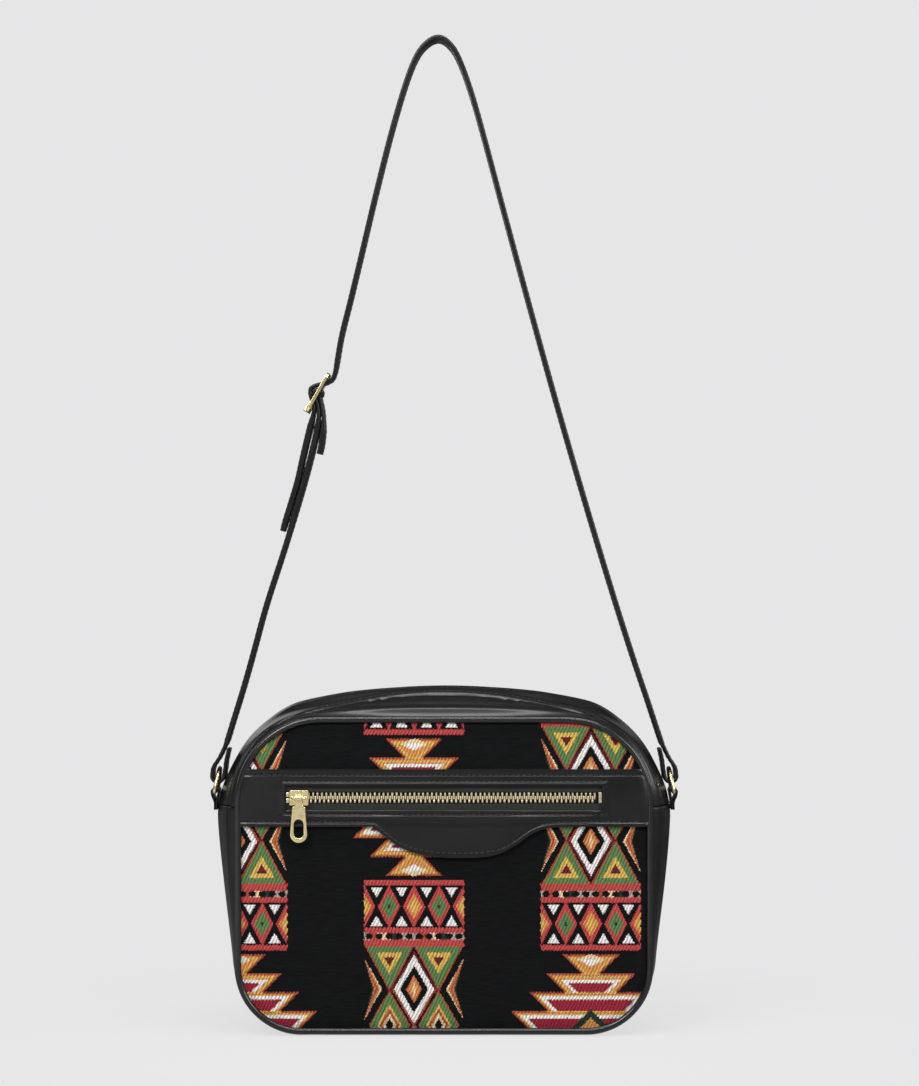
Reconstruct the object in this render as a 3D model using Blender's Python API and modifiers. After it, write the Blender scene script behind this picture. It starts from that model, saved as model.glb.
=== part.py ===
"""A crossbody camera bag: woven front panel, faux leather gusset, zip pocket, and an adjustable strap.

The bag stands on the flat bottom of its gusset, with the middle of its base at the origin and
its front towards -Y. Lengths are in metres.
"""
import math

import bmesh
import bpy
from mathutils import Matrix, Vector

MM = 0.001

# Fits that every piece shares
CLEARANCE = 0.3 * MM
WELD = 0.001 * MM

# Seam line where the front and back panels meet the gusset
SEAM_WIDTH = 238.0 * MM
SEAM_HEIGHT = 180.0 * MM
BOTTOM_CORNER = 37.0 * MM
TOP_CORNER = 48.0 * MM
SEAM_DEPTH = 74.0 * MM
PIPING_RADIUS = 2.0 * MM

# Gusset: how far its outer face stands out from the seam line
GUSSET_WALL = 1.6 * MM
BASE_DROP = 2.4 * MM
EDGE_STAND = 1.0 * MM
LOW_CORNER_BULGE = 5.0 * MM
SIDE_BULGE = 13.8 * MM
NECK_BULGE = 8.8 * MM
SHOULDER_BULGE = 8.5 * MM
CREST_RISE = 17.5 * MM
CREST_RADIUS = 350.0 * MM
BULGE_PEAK_BELOW_SHOULDER = 10.4 * MM
NECK_ABOVE_SHOULDER = 18.0 * MM
JOIN_BELOW_SHOULDER = 2.8 * MM
LIP_WIDTH = 3.6 * MM

# Front layers, from the fabric outwards
FABRIC_THICKNESS = 1.2 * MM
RELIEF = 0.4 * MM
LEATHER_THICKNESS = 1.6 * MM
FABRIC_STANDS_OUT = 0.4 * MM
BACK_PANEL_SETS_IN = 1.0 * MM
ZIP_HEIGHT = 137.4 * MM
POCKET_TOP = ZIP_HEIGHT + 16.6 * MM
POCKET_HEM = ZIP_HEIGHT - 16.4 * MM
WINDOW_WIDTH = SEAM_WIDTH - 55.0 * MM
WINDOW_HEIGHT = 14.3 * MM
SCALLOP_DEPTH = 17.7 * MM
SCALLOP_LEFT = -41.0 * MM
SCALLOP_RIGHT = 67.0 * MM

# Zip chain, the same size on the pocket and on the top
TOOTH_HEIGHT = 2.4 * MM
TOOTH_PITCH = 2.9 * MM
TOOTH_WIDTH = 1.3 * MM
TOOTH_TIP = 0.4 * MM
SPINE_INNER = 2.0 * MM
SPINE_OUTER = 3.0 * MM
TAPE_THICKNESS = 0.6 * MM
TAPE_INNER = 3.3 * MM
TAPE_OUTER = 15.0 * MM
TOP_TAPE_OUTER = 14.0 * MM
CHAIN_LENGTH = WINDOW_WIDTH - 5.0 * MM
TAPE_LENGTH = WINDOW_WIDTH + 5.0 * MM
TAPE_ROOM = 1.0 * MM
STOP_LENGTH = 2.0 * MM
STOP_EDGE = 0.3 * MM
SLIDER_LENGTH = 11.0 * MM
SLIDER_WIDTH = 8.8 * MM
SLIDER_PLATE = 0.8 * MM
SLIDER_LIFT = 0.5 * MM
SLIDER_POST = 0.5 * MM
SLIDER_FLANGE = 0.9 * MM
FLANGE_LIFT = 0.5 * MM
SLIDER_REST = -CHAIN_LENGTH / 2 + 5.3 * MM
SLIDER_POST_START = 0.3 * MM
SLIDER_POST_END = 2.4 * MM
SLIDER_EDGE = 0.25 * MM
SLIDER_OVERLAP = 0.2 * MM
FLANGE_END = 1.0 * MM
BAIL_WIRE = 0.8 * MM
BAIL_SPAN = 7.6 * MM
BAIL_CORNER = 1.2 * MM
BAIL_FOOT = 0.4 * MM
FRONT_BAIL_HEIGHT = 4.7 * MM
TOP_BAIL_HEIGHT = 4.8 * MM
KNUCKLE_FIT = 0.2 * MM
KNUCKLE_WIDTH = 4.4 * MM
FRONT_KNUCKLE_WALL = 0.9 * MM
TOP_KNUCKLE_WALL = 0.5 * MM
PULL_LENGTH = 25.7 * MM
PULL_WIDTH = 10.0 * MM
PULL_THICKNESS = 1.2 * MM
PULL_SLOT_WIDTH = 5.6 * MM
PULL_SLOT_LENGTH = 11.0 * MM
PULL_RIM = 0.4 * MM
NECK_HALF = 2.1 * MM

# Opening on the top, which follows the crest
TOP_SLOT_LENGTH = SEAM_WIDTH - 70.0 * MM
TOP_SLOT_WIDTH = 10.4 * MM
VALLEY_DEPTH = 3.4 * MM
VALLEY_FADE = 8.0 * MM
VALLEY_SHOULDER = 1.2 * MM
VALLEY_EDGE = 3.4 * MM
SLIDER_END_GAP = 1.0 * MM
TEETH_END_GAP = 1.0 * MM
TAPE_END_ANGLE = 0.012

# Pocket pouch and lining
CLOTH_WALL = 0.5 * MM
POUCH_WIDTH = WINDOW_WIDTH + 1.0 * MM
POUCH_DEPTH = 3.0 * MM
POUCH_BOTTOM = 40.0 * MM
POUCH_ABOVE_ZIP = 14.6 * MM
POUCH_MOUTH_HEIGHT = 12.0 * MM
POUCH_MOUTH_INSET = 1.5 * MM
LINING_INSET = 3.5 * MM
LINING_MOUTH_WIDTH = TOP_SLOT_LENGTH - 8.0 * MM
LINING_MOUTH_DEPTH = 24.0 * MM

# Rings and the tabs that hold them
RING_WIRE = 1.3 * MM
RING_HALF_WIDTH = 11.5 * MM
RING_LEG = 2.0 * MM
RING_CORNER = 1.6 * MM
RING_LEAN = math.radians(10.0)
RING_ABOVE_JOIN = 6.9 * MM
RING_SET_OUT = 1.0 * MM
RING_PLAY = 1.15 * MM
TAB_THICKNESS = 0.9 * MM
TAB_WIDTH = 19.5 * MM
TAB_DROP = 10.5 * MM
TAB_STRAIGHT = 6.0 * MM
TAB_BEND = 2.8 * MM

# Strap, seen edge on from the front and held up at its middle
STRAP_WIDTH = 18.0 * MM
STRAP_THICKNESS = 2.8 * MM
STRAP_SKIVED = 2.0 * MM
STRAP_TOP = 582.0 * MM
STRAP_TOP_X = -3.5 * MM

# Buckle on the left run
BUCKLE_HEIGHT_SHARE = 0.528
BUCKLE_SIDE_SHARE = 0.540
BUCKLE_LEAN = math.radians(60.6)
BUCKLE_LENGTH = 26.2 * MM
BUCKLE_RAIL = 2.2 * MM
BUCKLE_SIDE_GAP = 1.2 * MM
BUCKLE_THICKNESS = 2.0 * MM
BUCKLE_CORNER = 3.0 * MM
BUCKLE_EDGE = 0.45 * MM
BUCKLE_BAR = 1.2 * MM
BUCKLE_BAR_FIT = 0.2 * MM
PRONG_RADIUS = 0.9 * MM
PRONG_EYE_WIDTH = 3.0 * MM
PRONG_EYE_WALL = 1.05 * MM
PRONG_REACH = 13.2 * MM
PRONG_BEND = 1.2 * MM
PRONG_TIP_DROP = 0.1 * MM
PRONG_ROOT = 0.45 * MM
PRONG_ROOT_LIFT = 0.9 * MM
PRONG_SLOT = 3.8 * MM
HOLE_RADIUS = 1.2 * MM

# Woven bands on the front fabric
COLUMN_WIDTH = 57.7 * MM
COLUMN_PITCH = 102.1 * MM
COLUMN_MIDDLE_X = -17.3 * MM
DIAMONDS_OUTER_Z = 133.0 * MM
DIAMONDS_MIDDLE_Z = 6.0 * MM
BAND_REPEAT = 251.6 * MM

# Heights and depths worked out from the sizes above
SEAM_BOTTOM = BASE_DROP
SEAM_TOP = SEAM_BOTTOM + SEAM_HEIGHT
SEAM_Y = SEAM_DEPTH / 2
PANEL_INSET = PIPING_RADIUS + CLEARANCE
GUSSET_EDGE_Y = SEAM_Y - PIPING_RADIUS - CLEARANCE
CREST_CENTRE_Z = SEAM_TOP + CREST_RISE - CREST_RADIUS
FABRIC_FACE = -SEAM_Y - FABRIC_STANDS_OUT
FABRIC_BACK = FABRIC_FACE + FABRIC_THICKNESS
LEATHER_BACK = FABRIC_FACE - RELIEF - CLEARANCE
LEATHER_FACE = LEATHER_BACK - LEATHER_THICKNESS
CHAIN_Y = FABRIC_FACE
POUCH_FRONT = FABRIC_BACK + CLEARANCE
POUCH_BACK = POUCH_FRONT + POUCH_DEPTH
BACK_PANEL_Y = SEAM_Y - BACK_PANEL_SETS_IN
CHAIN_RADIUS = CREST_RADIUS - VALLEY_DEPTH - GUSSET_WALL - CLEARANCE - TAPE_THICKNESS / 2
SLIDER_PLATE_LOW = TOOTH_HEIGHT / 2 + SLIDER_LIFT

# Distances along the seam line, measured from its lowest middle point up one side
BOTTOM_END = SEAM_WIDTH / 2 - BOTTOM_CORNER
CORNER_END = BOTTOM_END + BOTTOM_CORNER * math.pi / 2
SHOULDER_START = CORNER_END + SEAM_HEIGHT - BOTTOM_CORNER - TOP_CORNER
SHOULDER_END = SHOULDER_START + TOP_CORNER * math.pi / 2
TOP_MIDDLE = SHOULDER_END + SEAM_WIDTH / 2 - TOP_CORNER
JOIN_AT = SHOULDER_START - JOIN_BELOW_SHOULDER
JOIN_Z = SEAM_TOP - TOP_CORNER - JOIN_BELOW_SHOULDER

# Base colour, roughness and metallic value of each finish
FINISHES = {
    "leather": ((0.010, 0.010, 0.011), 0.42, 0.0),
    "weave": ((0.16, 0.035, 0.03), 0.95, 0.0),
    "brass": ((0.63, 0.50, 0.26), 0.30, 1.0),
    "tape": ((0.012, 0.012, 0.013), 0.90, 0.0),
    "lining": ((0.03, 0.03, 0.033), 0.80, 0.0),
}

for old in list(bpy.data.objects):
    bpy.data.objects.remove(old)
BAG = bpy.data.collections.new("handbag")
CUTTERS = bpy.data.collections.new("handbag_cutters")
bpy.context.scene.collection.children.link(BAG)
bpy.context.scene.collection.children.link(CUTTERS)


def new_object(name, data, finish):
    """Put a mesh or curve in the bag's collection with a material of its own."""
    colour, roughness, metallic = FINISHES[finish]
    material = bpy.data.materials.new(f"{name}_{finish}")
    material.use_nodes = True
    shader = material.node_tree.nodes["Principled BSDF"]
    shader.inputs["Base Color"].default_value = (*colour, 1.0)
    shader.inputs["Roughness"].default_value = roughness
    shader.inputs["Metallic"].default_value = metallic
    data.materials.append(material)
    made = bpy.data.objects.new(name, data)
    BAG.objects.link(made)
    return made


def as_mesh(curve_object):
    """Turn a curve object into a mesh object with welded caps."""
    bpy.context.view_layer.update()
    depsgraph = bpy.context.evaluated_depsgraph_get()
    mesh = bpy.data.meshes.new_from_object(curve_object.evaluated_get(depsgraph))
    work = bmesh.new()
    work.from_mesh(mesh)
    bmesh.ops.remove_doubles(work, verts=work.verts, dist=WELD)
    bmesh.ops.recalc_face_normals(work, faces=work.faces)
    work.to_mesh(mesh)
    work.free()
    name = curve_object.name
    curve_object.name = name + "_curve"
    solid = bpy.data.objects.new(name, mesh)
    solid.matrix_world = curve_object.matrix_world.copy()
    BAG.objects.link(solid)
    bpy.data.objects.remove(curve_object)
    return solid


def as_cutter(solid):
    """Move a solid to the cutters, where it only shapes other pieces."""
    BAG.objects.unlink(solid)
    CUTTERS.objects.link(solid)
    solid.hide_render = True
    solid.display_type = "WIRE"
    return solid


def combine(target, other, operation):
    """Add, cut or intersect a mesh object with another one, which then moves with it."""
    change = target.modifiers.new(operation.lower() + "_" + other.name, "BOOLEAN")
    change.operation = operation
    change.object = as_cutter(other)
    other.parent = target
    other.matrix_parent_inverse = target.matrix_basis.inverted()
    return target


def soften(target, width):
    """Round a solid's sharp edges."""
    bevel = target.modifiers.new("softened_edges", "BEVEL")
    bevel.width = width
    bevel.segments = 2
    bevel.limit_method = "ANGLE"
    return target


def shade(target):
    """Shade a round piece smooth, with its real edges kept sharp."""
    target.data.shade_smooth()
    target.data.set_sharp_from_angle(angle=math.radians(40))
    return target


def box(name, low, high, finish):
    """A plain block between two corners."""
    work = bmesh.new()
    bmesh.ops.create_cube(work, size=1.0)
    size = Vector(high) - Vector(low)
    middle = (Vector(high) + Vector(low)) / 2
    bmesh.ops.scale(work, vec=size, verts=work.verts)
    bmesh.ops.translate(work, vec=middle, verts=work.verts)
    mesh = bpy.data.meshes.new(name)
    work.to_mesh(mesh)
    work.free()
    return new_object(name, mesh, finish)


def rod(name, start, end, radius, finish, sides=16):
    """A round rod with flat ends between two points."""
    run = Vector(end) - Vector(start)
    turn = run.to_track_quat("Z", "Y").to_matrix().to_4x4()
    place = Matrix.Translation((Vector(start) + Vector(end)) / 2) @ turn
    work = bmesh.new()
    bmesh.ops.create_cone(work, cap_ends=True, segments=sides, radius1=radius, radius2=radius,
                          depth=run.length, matrix=place)
    mesh = bpy.data.meshes.new(name)
    work.to_mesh(mesh)
    work.free()
    return new_object(name, mesh, finish)


def flat_outline(name, outlines, thickness, finish):
    """A flat sheet in its own XY plane, cut to one outline and to any holes nested in it."""
    curve = bpy.data.curves.new(name, "CURVE")
    curve.dimensions = "2D"
    curve.fill_mode = "BOTH"
    curve.extrude = thickness / 2
    for outline in outlines:
        spline = curve.splines.new("POLY")
        spline.points.add(len(outline) - 1)
        for point, (across, up) in zip(spline.points, outline):
            point.co = (across, up, 0.0, 1.0)
        spline.use_cyclic_u = True
    return new_object(name, curve, finish)


def upright_plate(name, outlines, front, back, finish):
    """A sheet that stands in the XZ plane between two depths."""
    plate = flat_outline(name, outlines, back - front, finish)
    plate.rotation_euler = (math.pi / 2, 0.0, 0.0)
    plate.location = (0.0, (front + back) / 2, 0.0)
    return as_mesh(plate)


def wire(name, points, radius, finish, closed=False):
    """A round wire or cord through a list of points."""
    curve = bpy.data.curves.new(name, "CURVE")
    curve.dimensions = "3D"
    curve.bevel_depth = radius
    curve.bevel_resolution = 2
    curve.use_fill_caps = True
    spline = curve.splines.new("POLY")
    spline.points.add(len(points) - 1)
    for point, place in zip(spline.points, points):
        point.co = (*place, 1.0)
    spline.use_cyclic_u = closed
    return new_object(name, curve, finish)


def loft(name, sections, finish):
    """A closed solid through a row of like sections."""
    work = bmesh.new()
    rings = []
    for section in sections:
        rings.append([work.verts.new(point) for point in section])
    for ring, following in zip(rings, rings[1:]):
        for index, corner in enumerate(ring):
            beside = (index + 1) % len(ring)
            work.faces.new((corner, ring[beside], following[beside], following[index]))
    work.faces.new(rings[0])
    work.faces.new(reversed(rings[-1]))
    bmesh.ops.recalc_face_normals(work, faces=work.faces)
    mesh = bpy.data.meshes.new(name)
    work.to_mesh(mesh)
    work.free()
    return new_object(name, mesh, finish)


def spread(start, end, count):
    """Evenly spaced values from start to end."""
    return [start + (end - start) * step / (count - 1) for step in range(count)]


def smooth_between(keys, at):
    """Read a smooth curve through (place, value) keys."""
    if at <= keys[0][0]:
        return keys[0][1]
    if at >= keys[-1][0]:
        return keys[-1][1]
    low = max(index for index, key in enumerate(keys) if key[0] <= at)
    slopes = []
    for index in (low, low + 1):
        before = keys[max(index - 1, 0)]
        after = keys[min(index + 1, len(keys) - 1)]
        slopes.append((after[1] - before[1]) / (after[0] - before[0]))
    span = keys[low + 1][0] - keys[low][0]
    part = (at - keys[low][0]) / span
    rise = keys[low][1] * (2 * part ** 3 - 3 * part ** 2 + 1)
    rise += slopes[0] * span * (part ** 3 - 2 * part ** 2 + part)
    rise += keys[low + 1][1] * (3 * part ** 2 - 2 * part ** 3)
    rise += slopes[1] * span * (part ** 3 - part ** 2)
    return rise


def smooth_path(points, steps):
    """A smooth line through flat points, with a few steps between each pair."""
    ends = [points[0], *points, points[-1]]
    line = []
    for a, b, c, d in zip(ends, ends[1:], ends[2:], ends[3:]):
        for step in range(steps):
            t = step / steps
            line.append(tuple(
                0.5 * (2 * q + (r - p) * t + (2 * p - 5 * q + 4 * r - s) * t * t
                       + (3 * q - p - 3 * r + s) * t ** 3)
                for p, q, r, s in zip(a, b, c, d)))
    line.append(tuple(points[-1]))
    return line


def seam_at(distance, inset=0.0):
    """Place and outward direction on the seam line, as x, z, outward x and outward z."""
    side = -1.0 if distance < 0 else 1.0
    along = abs(distance)
    half = SEAM_WIDTH / 2
    low = SEAM_BOTTOM + BOTTOM_CORNER
    high = SEAM_TOP - TOP_CORNER
    if along <= BOTTOM_END:
        x, z, angle = along, SEAM_BOTTOM, -math.pi / 2
    elif along <= CORNER_END:
        angle = (along - BOTTOM_END) / BOTTOM_CORNER - math.pi / 2
        x = half - BOTTOM_CORNER + BOTTOM_CORNER * math.cos(angle)
        z = low + BOTTOM_CORNER * math.sin(angle)
    elif along <= SHOULDER_START:
        x, z, angle = half, low + along - CORNER_END, 0.0
    elif along <= SHOULDER_END:
        angle = (along - SHOULDER_START) / TOP_CORNER
        x = half - TOP_CORNER + TOP_CORNER * math.cos(angle)
        z = high + TOP_CORNER * math.sin(angle)
    else:
        x, z, angle = TOP_MIDDLE - along, SEAM_TOP, math.pi / 2
    out_x = math.cos(angle)
    out_z = math.sin(angle)
    return side * (x - inset * out_x), z - inset * out_z, side * out_x, out_z


def seam_outline(inset, corner_steps=8):
    """The panels' rounded outline, set in from the seam line."""
    marks = spread(BOTTOM_END, CORNER_END, corner_steps)
    marks += spread(SHOULDER_START, SHOULDER_END, corner_steps)
    right = [seam_at(mark, inset)[:2] for mark in marks]
    return right + [(-x, z) for x, z in reversed(right)]


def side_x(height, inset=PANEL_INSET):
    """How far out the panels' edge lies at a height above the bottom corners."""
    over = height - (SEAM_TOP - TOP_CORNER)
    if over <= 0:
        return SEAM_WIDTH / 2 - inset
    return SEAM_WIDTH / 2 - TOP_CORNER + math.sqrt((TOP_CORNER - inset) ** 2 - over ** 2)


def crest_reach(x, z, out_x, out_z):
    """How far the arched crest lies from a seam point, along its outward direction."""
    rise = z - CREST_CENTRE_Z
    along = out_x * x + out_z * rise
    return math.sqrt(along ** 2 - (x ** 2 + rise ** 2 - CREST_RADIUS ** 2)) - along


def crest_start():
    """Distance along the seam at which the gusset reaches the end of the top opening."""
    end_x = TOP_SLOT_LENGTH / 2
    return SHOULDER_START + TOP_CORNER * math.acos((end_x - SEAM_WIDTH / 2 + TOP_CORNER) / TOP_CORNER)


CREST_START = crest_start()


def bulge_at(distance):
    """How far the gusset's middle stands out from the seam line."""
    along = abs(distance)
    if along >= CREST_START:
        return crest_reach(*seam_at(along))
    keys = [(0.0, BASE_DROP), (BOTTOM_END, BASE_DROP), (CORNER_END, LOW_CORNER_BULGE),
            (SHOULDER_START - BULGE_PEAK_BELOW_SHOULDER, SIDE_BULGE),
            (SHOULDER_START + NECK_ABOVE_SHOULDER, NECK_BULGE),
            ((SHOULDER_START + SHOULDER_END) / 2, SHOULDER_BULGE),
            (CREST_START, crest_reach(*seam_at(CREST_START)))]
    if along <= BOTTOM_END:
        return BASE_DROP
    return smooth_between(keys, along)


def gusset_offset(distance, depth):
    """How far the gusset's outer face stands out from the seam line at a depth."""
    from_edge = GUSSET_EDGE_Y - abs(depth)
    half = GUSSET_EDGE_Y
    swell = smooth_between([(0.0, 0.07), (0.1 * half, 0.28), (0.19 * half, 0.42), (0.36 * half, 0.62),
                            (0.6 * half, 0.86), (0.77 * half, 1.0), (half, 1.0)], from_edge)
    lip = min(1.0, EDGE_STAND / BASE_DROP + from_edge / LIP_WIDTH * (1.0 - EDGE_STAND / BASE_DROP))
    bulge = bulge_at(distance)
    return max(bulge * swell, BASE_DROP * lip)


def valley(distance, depth):
    """How deep the gusset dips towards the top opening."""
    fade = min(1.0, max(0.0, (abs(distance) - CREST_START + VALLEY_FADE) / VALLEY_FADE))
    slot_edge = TOP_SLOT_WIDTH / 2
    shape = [(slot_edge, VALLEY_DEPTH), (slot_edge + VALLEY_SHOULDER, VALLEY_DEPTH * 0.35),
             (slot_edge + VALLEY_EDGE, 0.0)]
    return fade * smooth_between(shape, abs(depth))


def gusset(name, marks, depths, opening=None):
    """A strip of gusset along the seam line, left open between two marks where the zip goes."""
    work = bmesh.new()
    rows = []
    for mark in marks:
        own = mark if mark <= TOP_MIDDLE else mark - 2 * TOP_MIDDLE
        x, z, out_x, out_z = seam_at(own)
        row = []
        for depth in depths:
            out = gusset_offset(own, depth) - valley(own, depth)
            row.append(work.verts.new((x + out * out_x, depth, z + out * out_z)))
        rows.append(row)
    for row, following, mark, mark_after in zip(rows, rows[1:], marks, marks[1:]):
        for index in range(len(depths) - 1):
            in_middle = abs(depths[index] + depths[index + 1]) < WELD
            if opening and in_middle and mark > opening[0] - WELD and mark_after < opening[1] + WELD:
                continue
            work.faces.new((row[index], row[index + 1], following[index + 1], following[index]))
    bmesh.ops.triangulate(work, faces=work.faces)
    mesh = bpy.data.meshes.new(name)
    work.to_mesh(mesh)
    work.free()
    strip = new_object(name, mesh, "leather")
    wall = strip.modifiers.new("wall", "SOLIDIFY")
    wall.thickness = GUSSET_WALL
    wall.offset = -1.0
    return shade(strip)


def both_sides(values):
    """Rising values and their mirror image."""
    return [-value for value in reversed(values)] + list(values)


def build_gussets():
    """The lower gusset runs round the base and sides, the top gusset carries the zip."""
    lip = GUSSET_EDGE_Y - LIP_WIDTH
    outer = [lip - 2.5 * LIP_WIDTH, lip - 0.8 * LIP_WIDTH, lip, GUSSET_EDGE_Y]
    slot_edge = TOP_SLOT_WIDTH / 2
    lower_depths = both_sides([0.23 * GUSSET_EDGE_Y, 0.4 * GUSSET_EDGE_Y, *outer])
    rising = spread(BOTTOM_END / 2, BOTTOM_END, 2)
    rising += spread(BOTTOM_END, CORNER_END, 9)[1:]
    rising += spread(CORNER_END, JOIN_AT - CLEARANCE, 7)[1:]
    gusset("lower_gusset", both_sides(rising), lower_depths)
    fade_start = CREST_START - VALLEY_FADE
    upper_depths = both_sides([slot_edge, slot_edge + VALLEY_SHOULDER, slot_edge + VALLEY_EDGE, 0.43 * GUSSET_EDGE_Y,
                               *outer])
    rising = spread(JOIN_AT + CLEARANCE, fade_start, 9)
    rising += spread(fade_start, CREST_START, 3)[1:]
    rising += spread(CREST_START, TOP_MIDDLE, 7)[1:]
    over = rising + [2 * TOP_MIDDLE - mark for mark in reversed(rising[:-1])]
    gusset("top_gusset", over, upper_depths, (CREST_START, 2 * TOP_MIDDLE - CREST_START))


def build_pipings():
    """Round piping sewn between each panel and the gusset."""
    for name, depth in (("front_piping", -SEAM_Y), ("back_piping", SEAM_Y)):
        points = [(x, depth, z) for x, z in seam_outline(0.0, 10)]
        shade(as_mesh(wire(name, points, PIPING_RADIUS, "leather", closed=True)))


def shifted(points, across, up):
    """An outline moved in its own plane."""
    return [(x + across, z + up) for x, z in points]


def diamond(half_width, half_height):
    """A diamond about the origin."""
    return [(-half_width, 0.0), (0.0, -half_height), (half_width, 0.0), (0.0, half_height)]


def triangle(half_width, height):
    """A triangle with its base on the origin and its tip upwards."""
    return [(-half_width, 0.0), (half_width, 0.0), (0.0, height)]


def bar(bottom, top):
    """A band right across one column."""
    half = COLUMN_WIDTH / 2
    return [(-half, bottom), (half, bottom), (half, top), (-half, top)]


def tree(base, middle):
    """Half of the stepped tree: inverted layers that widen towards its middle line."""
    layer = 11.0 * MM
    gap = 0.4 * MM
    tops = (16.2 * MM, 26.5 * MM, 36.9 * MM)
    shapes = []
    for step, half in enumerate(tops):
        low = base + step * layer
        neck = half - layer + gap
        shapes.append([(-neck, low), (neck, low), (half, low + layer - gap), (-half, low + layer - gap)])
    low = base + len(tops) * layer
    shapes.append([(-tops[2], low), (tops[2], low), (tops[2] + 5.0 * MM, middle - gap),
                   (-tops[2] - 5.0 * MM, middle - gap)])
    return shapes


def band_shapes():
    """One half of the pattern, from the middle of the diamond band outwards to the tree's middle."""
    shapes = []
    rim = diamond(11.4 * MM, 19.6 * MM)
    shapes.append(shifted(rim, 0.0, 20.8 * MM))
    shapes.append(shifted(diamond(8.2 * MM, 13.8 * MM), 0.0, 20.8 * MM))
    shapes.append(shifted(diamond(4.65 * MM, 7.9 * MM), 0.0, 20.8 * MM))
    for side in (-1, 1):
        hill = [(0.0, 21.6 * MM), (-13.1 * MM, 44.7 * MM), (13.1 * MM, 44.7 * MM)]
        inner = [(0.0, 28.0 * MM), (-7.7 * MM, 42.0 * MM), (7.7 * MM, 42.0 * MM)]
        shapes.append(shifted(hill, side * 14.6 * MM, 0.0))
        shapes.append(shifted(inner, side * 14.6 * MM, 0.0))
    for low, high in ((45.3, 48.5), (52.5, 56.3), (79.3, 82.8)):
        shapes.append(bar(low * MM, high * MM))
    for place in (-21.5, -7.1, 7.1, 21.5):
        small = triangle(3.45 * MM, 5.9 * MM)
        shapes.append(shifted(small, place * MM, 57.8 * MM))
        shapes.append(shifted([(x, -z) for x, z in small], place * MM, 77.8 * MM))
    for place in (-14.4, 0.0, 14.4):
        shapes.append(shifted(diamond(5.6 * MM, 9.6 * MM), place * MM, 67.8 * MM))
        shapes.append(shifted(diamond(3.2 * MM, 5.6 * MM), place * MM, 67.8 * MM))
    shapes += tree(86.2 * MM, BAND_REPEAT / 2)
    return shapes


def build_front_fabric():
    """The woven panel: a flat cloth with the raised figures of its bands, cut away behind the zip."""
    cut_x = TAPE_LENGTH / 2 + 2 * TAPE_ROOM
    cut_z = TAPE_OUTER + TAPE_ROOM
    cut = [(-cut_x, ZIP_HEIGHT - cut_z), (cut_x, ZIP_HEIGHT - cut_z),
           (cut_x, ZIP_HEIGHT + cut_z), (-cut_x, ZIP_HEIGHT + cut_z)]
    cloth = upright_plate("front_fabric", [seam_outline(PANEL_INSET), cut], FABRIC_FACE, FABRIC_BACK,
                          "weave")
    figures = []
    for column, middle_z in ((-1, DIAMONDS_OUTER_Z), (0, DIAMONDS_MIDDLE_Z), (1, DIAMONDS_OUTER_Z)):
        across = COLUMN_MIDDLE_X + column * COLUMN_PITCH
        for shape in band_shapes():
            figures.append(shifted(shape, across, middle_z))
            figures.append(shifted([(x, -z) for x, z in shape], across, middle_z))
    relief = upright_plate("raised_figures", figures, FABRIC_FACE - RELIEF,
                           FABRIC_FACE + FABRIC_THICKNESS / 2, "weave")
    room = FABRIC_THICKNESS
    pocket_room = [(-side_x(0.0) * 2, POCKET_HEM - SCALLOP_DEPTH), (side_x(0.0) * 2, POCKET_HEM - SCALLOP_DEPTH),
                   (side_x(0.0) * 2, POCKET_TOP - room), (-side_x(0.0) * 2, POCKET_TOP - room)]
    field = upright_plate("figure_field", [seam_outline(PANEL_INSET + room)],
                          FABRIC_FACE - 5 * RELIEF, FABRIC_BACK + 5 * RELIEF, "weave")
    hidden = upright_plate("figure_gap", [pocket_room], FABRIC_FACE - 6 * RELIEF,
                           FABRIC_BACK + 6 * RELIEF, "weave")
    combine(relief, field, "INTERSECT")
    combine(relief, hidden, "DIFFERENCE")
    combine(cloth, relief, "UNION")


def build_back_panel():
    """The plain faux leather back."""
    upright_plate("back_panel", [seam_outline(PANEL_INSET)], BACK_PANEL_Y, BACK_PANEL_Y + LEATHER_THICKNESS,
                  "leather")


def build_pocket_panel():
    """The faux leather band across the front, with the zip window and the scalloped hem."""
    hem_keys = [(SCALLOP_LEFT, 0.0), (-34.0 * MM, -0.33), (-25.0 * MM, -0.68), (-14.0 * MM, -0.90),
                (-2.0 * MM, -1.0), (21.0 * MM, -1.0), (32.0 * MM, -0.88), (41.0 * MM, -0.62),
                (50.0 * MM, -0.26), (58.0 * MM, -0.07), (SCALLOP_RIGHT, 0.0)]
    hem = smooth_path([(x, POCKET_HEM + share * SCALLOP_DEPTH) for x, share in hem_keys], 3)
    right = [(side_x(z), z) for z in spread(POCKET_HEM, POCKET_TOP, 9)]
    outline = [(-side_x(POCKET_HEM), POCKET_HEM), *hem, *right, *[(-x, z) for x, z in reversed(right[1:])]]
    half_x = WINDOW_WIDTH / 2
    half_z = WINDOW_HEIGHT / 2
    window = [(-half_x, ZIP_HEIGHT - half_z), (half_x, ZIP_HEIGHT - half_z),
              (half_x, ZIP_HEIGHT + half_z), (-half_x, ZIP_HEIGHT + half_z)]
    upright_plate("pocket_panel", [outline, window], LEATHER_FACE, LEATHER_BACK, "leather")


def comb(length, bends=False):
    """Outline of one row of zip teeth: a spine with a tooth at each pitch, jointed if it is to be bent."""
    count = int(length / TOOTH_PITCH)
    half = TOOTH_WIDTH / 2
    inner = []
    outer = []
    for tooth in range(count):
        x = (tooth - (count - 1) / 2) * TOOTH_PITCH
        inner += [(x - half, SPINE_INNER), (x - half, TOOTH_TIP), (x + half, TOOTH_TIP),
                  (x + half, SPINE_INNER)]
        if bends or tooth in (0, count - 1):
            outer.append((x + (half if tooth else -half), SPINE_OUTER))
    return inner + outer[::-1]


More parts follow.
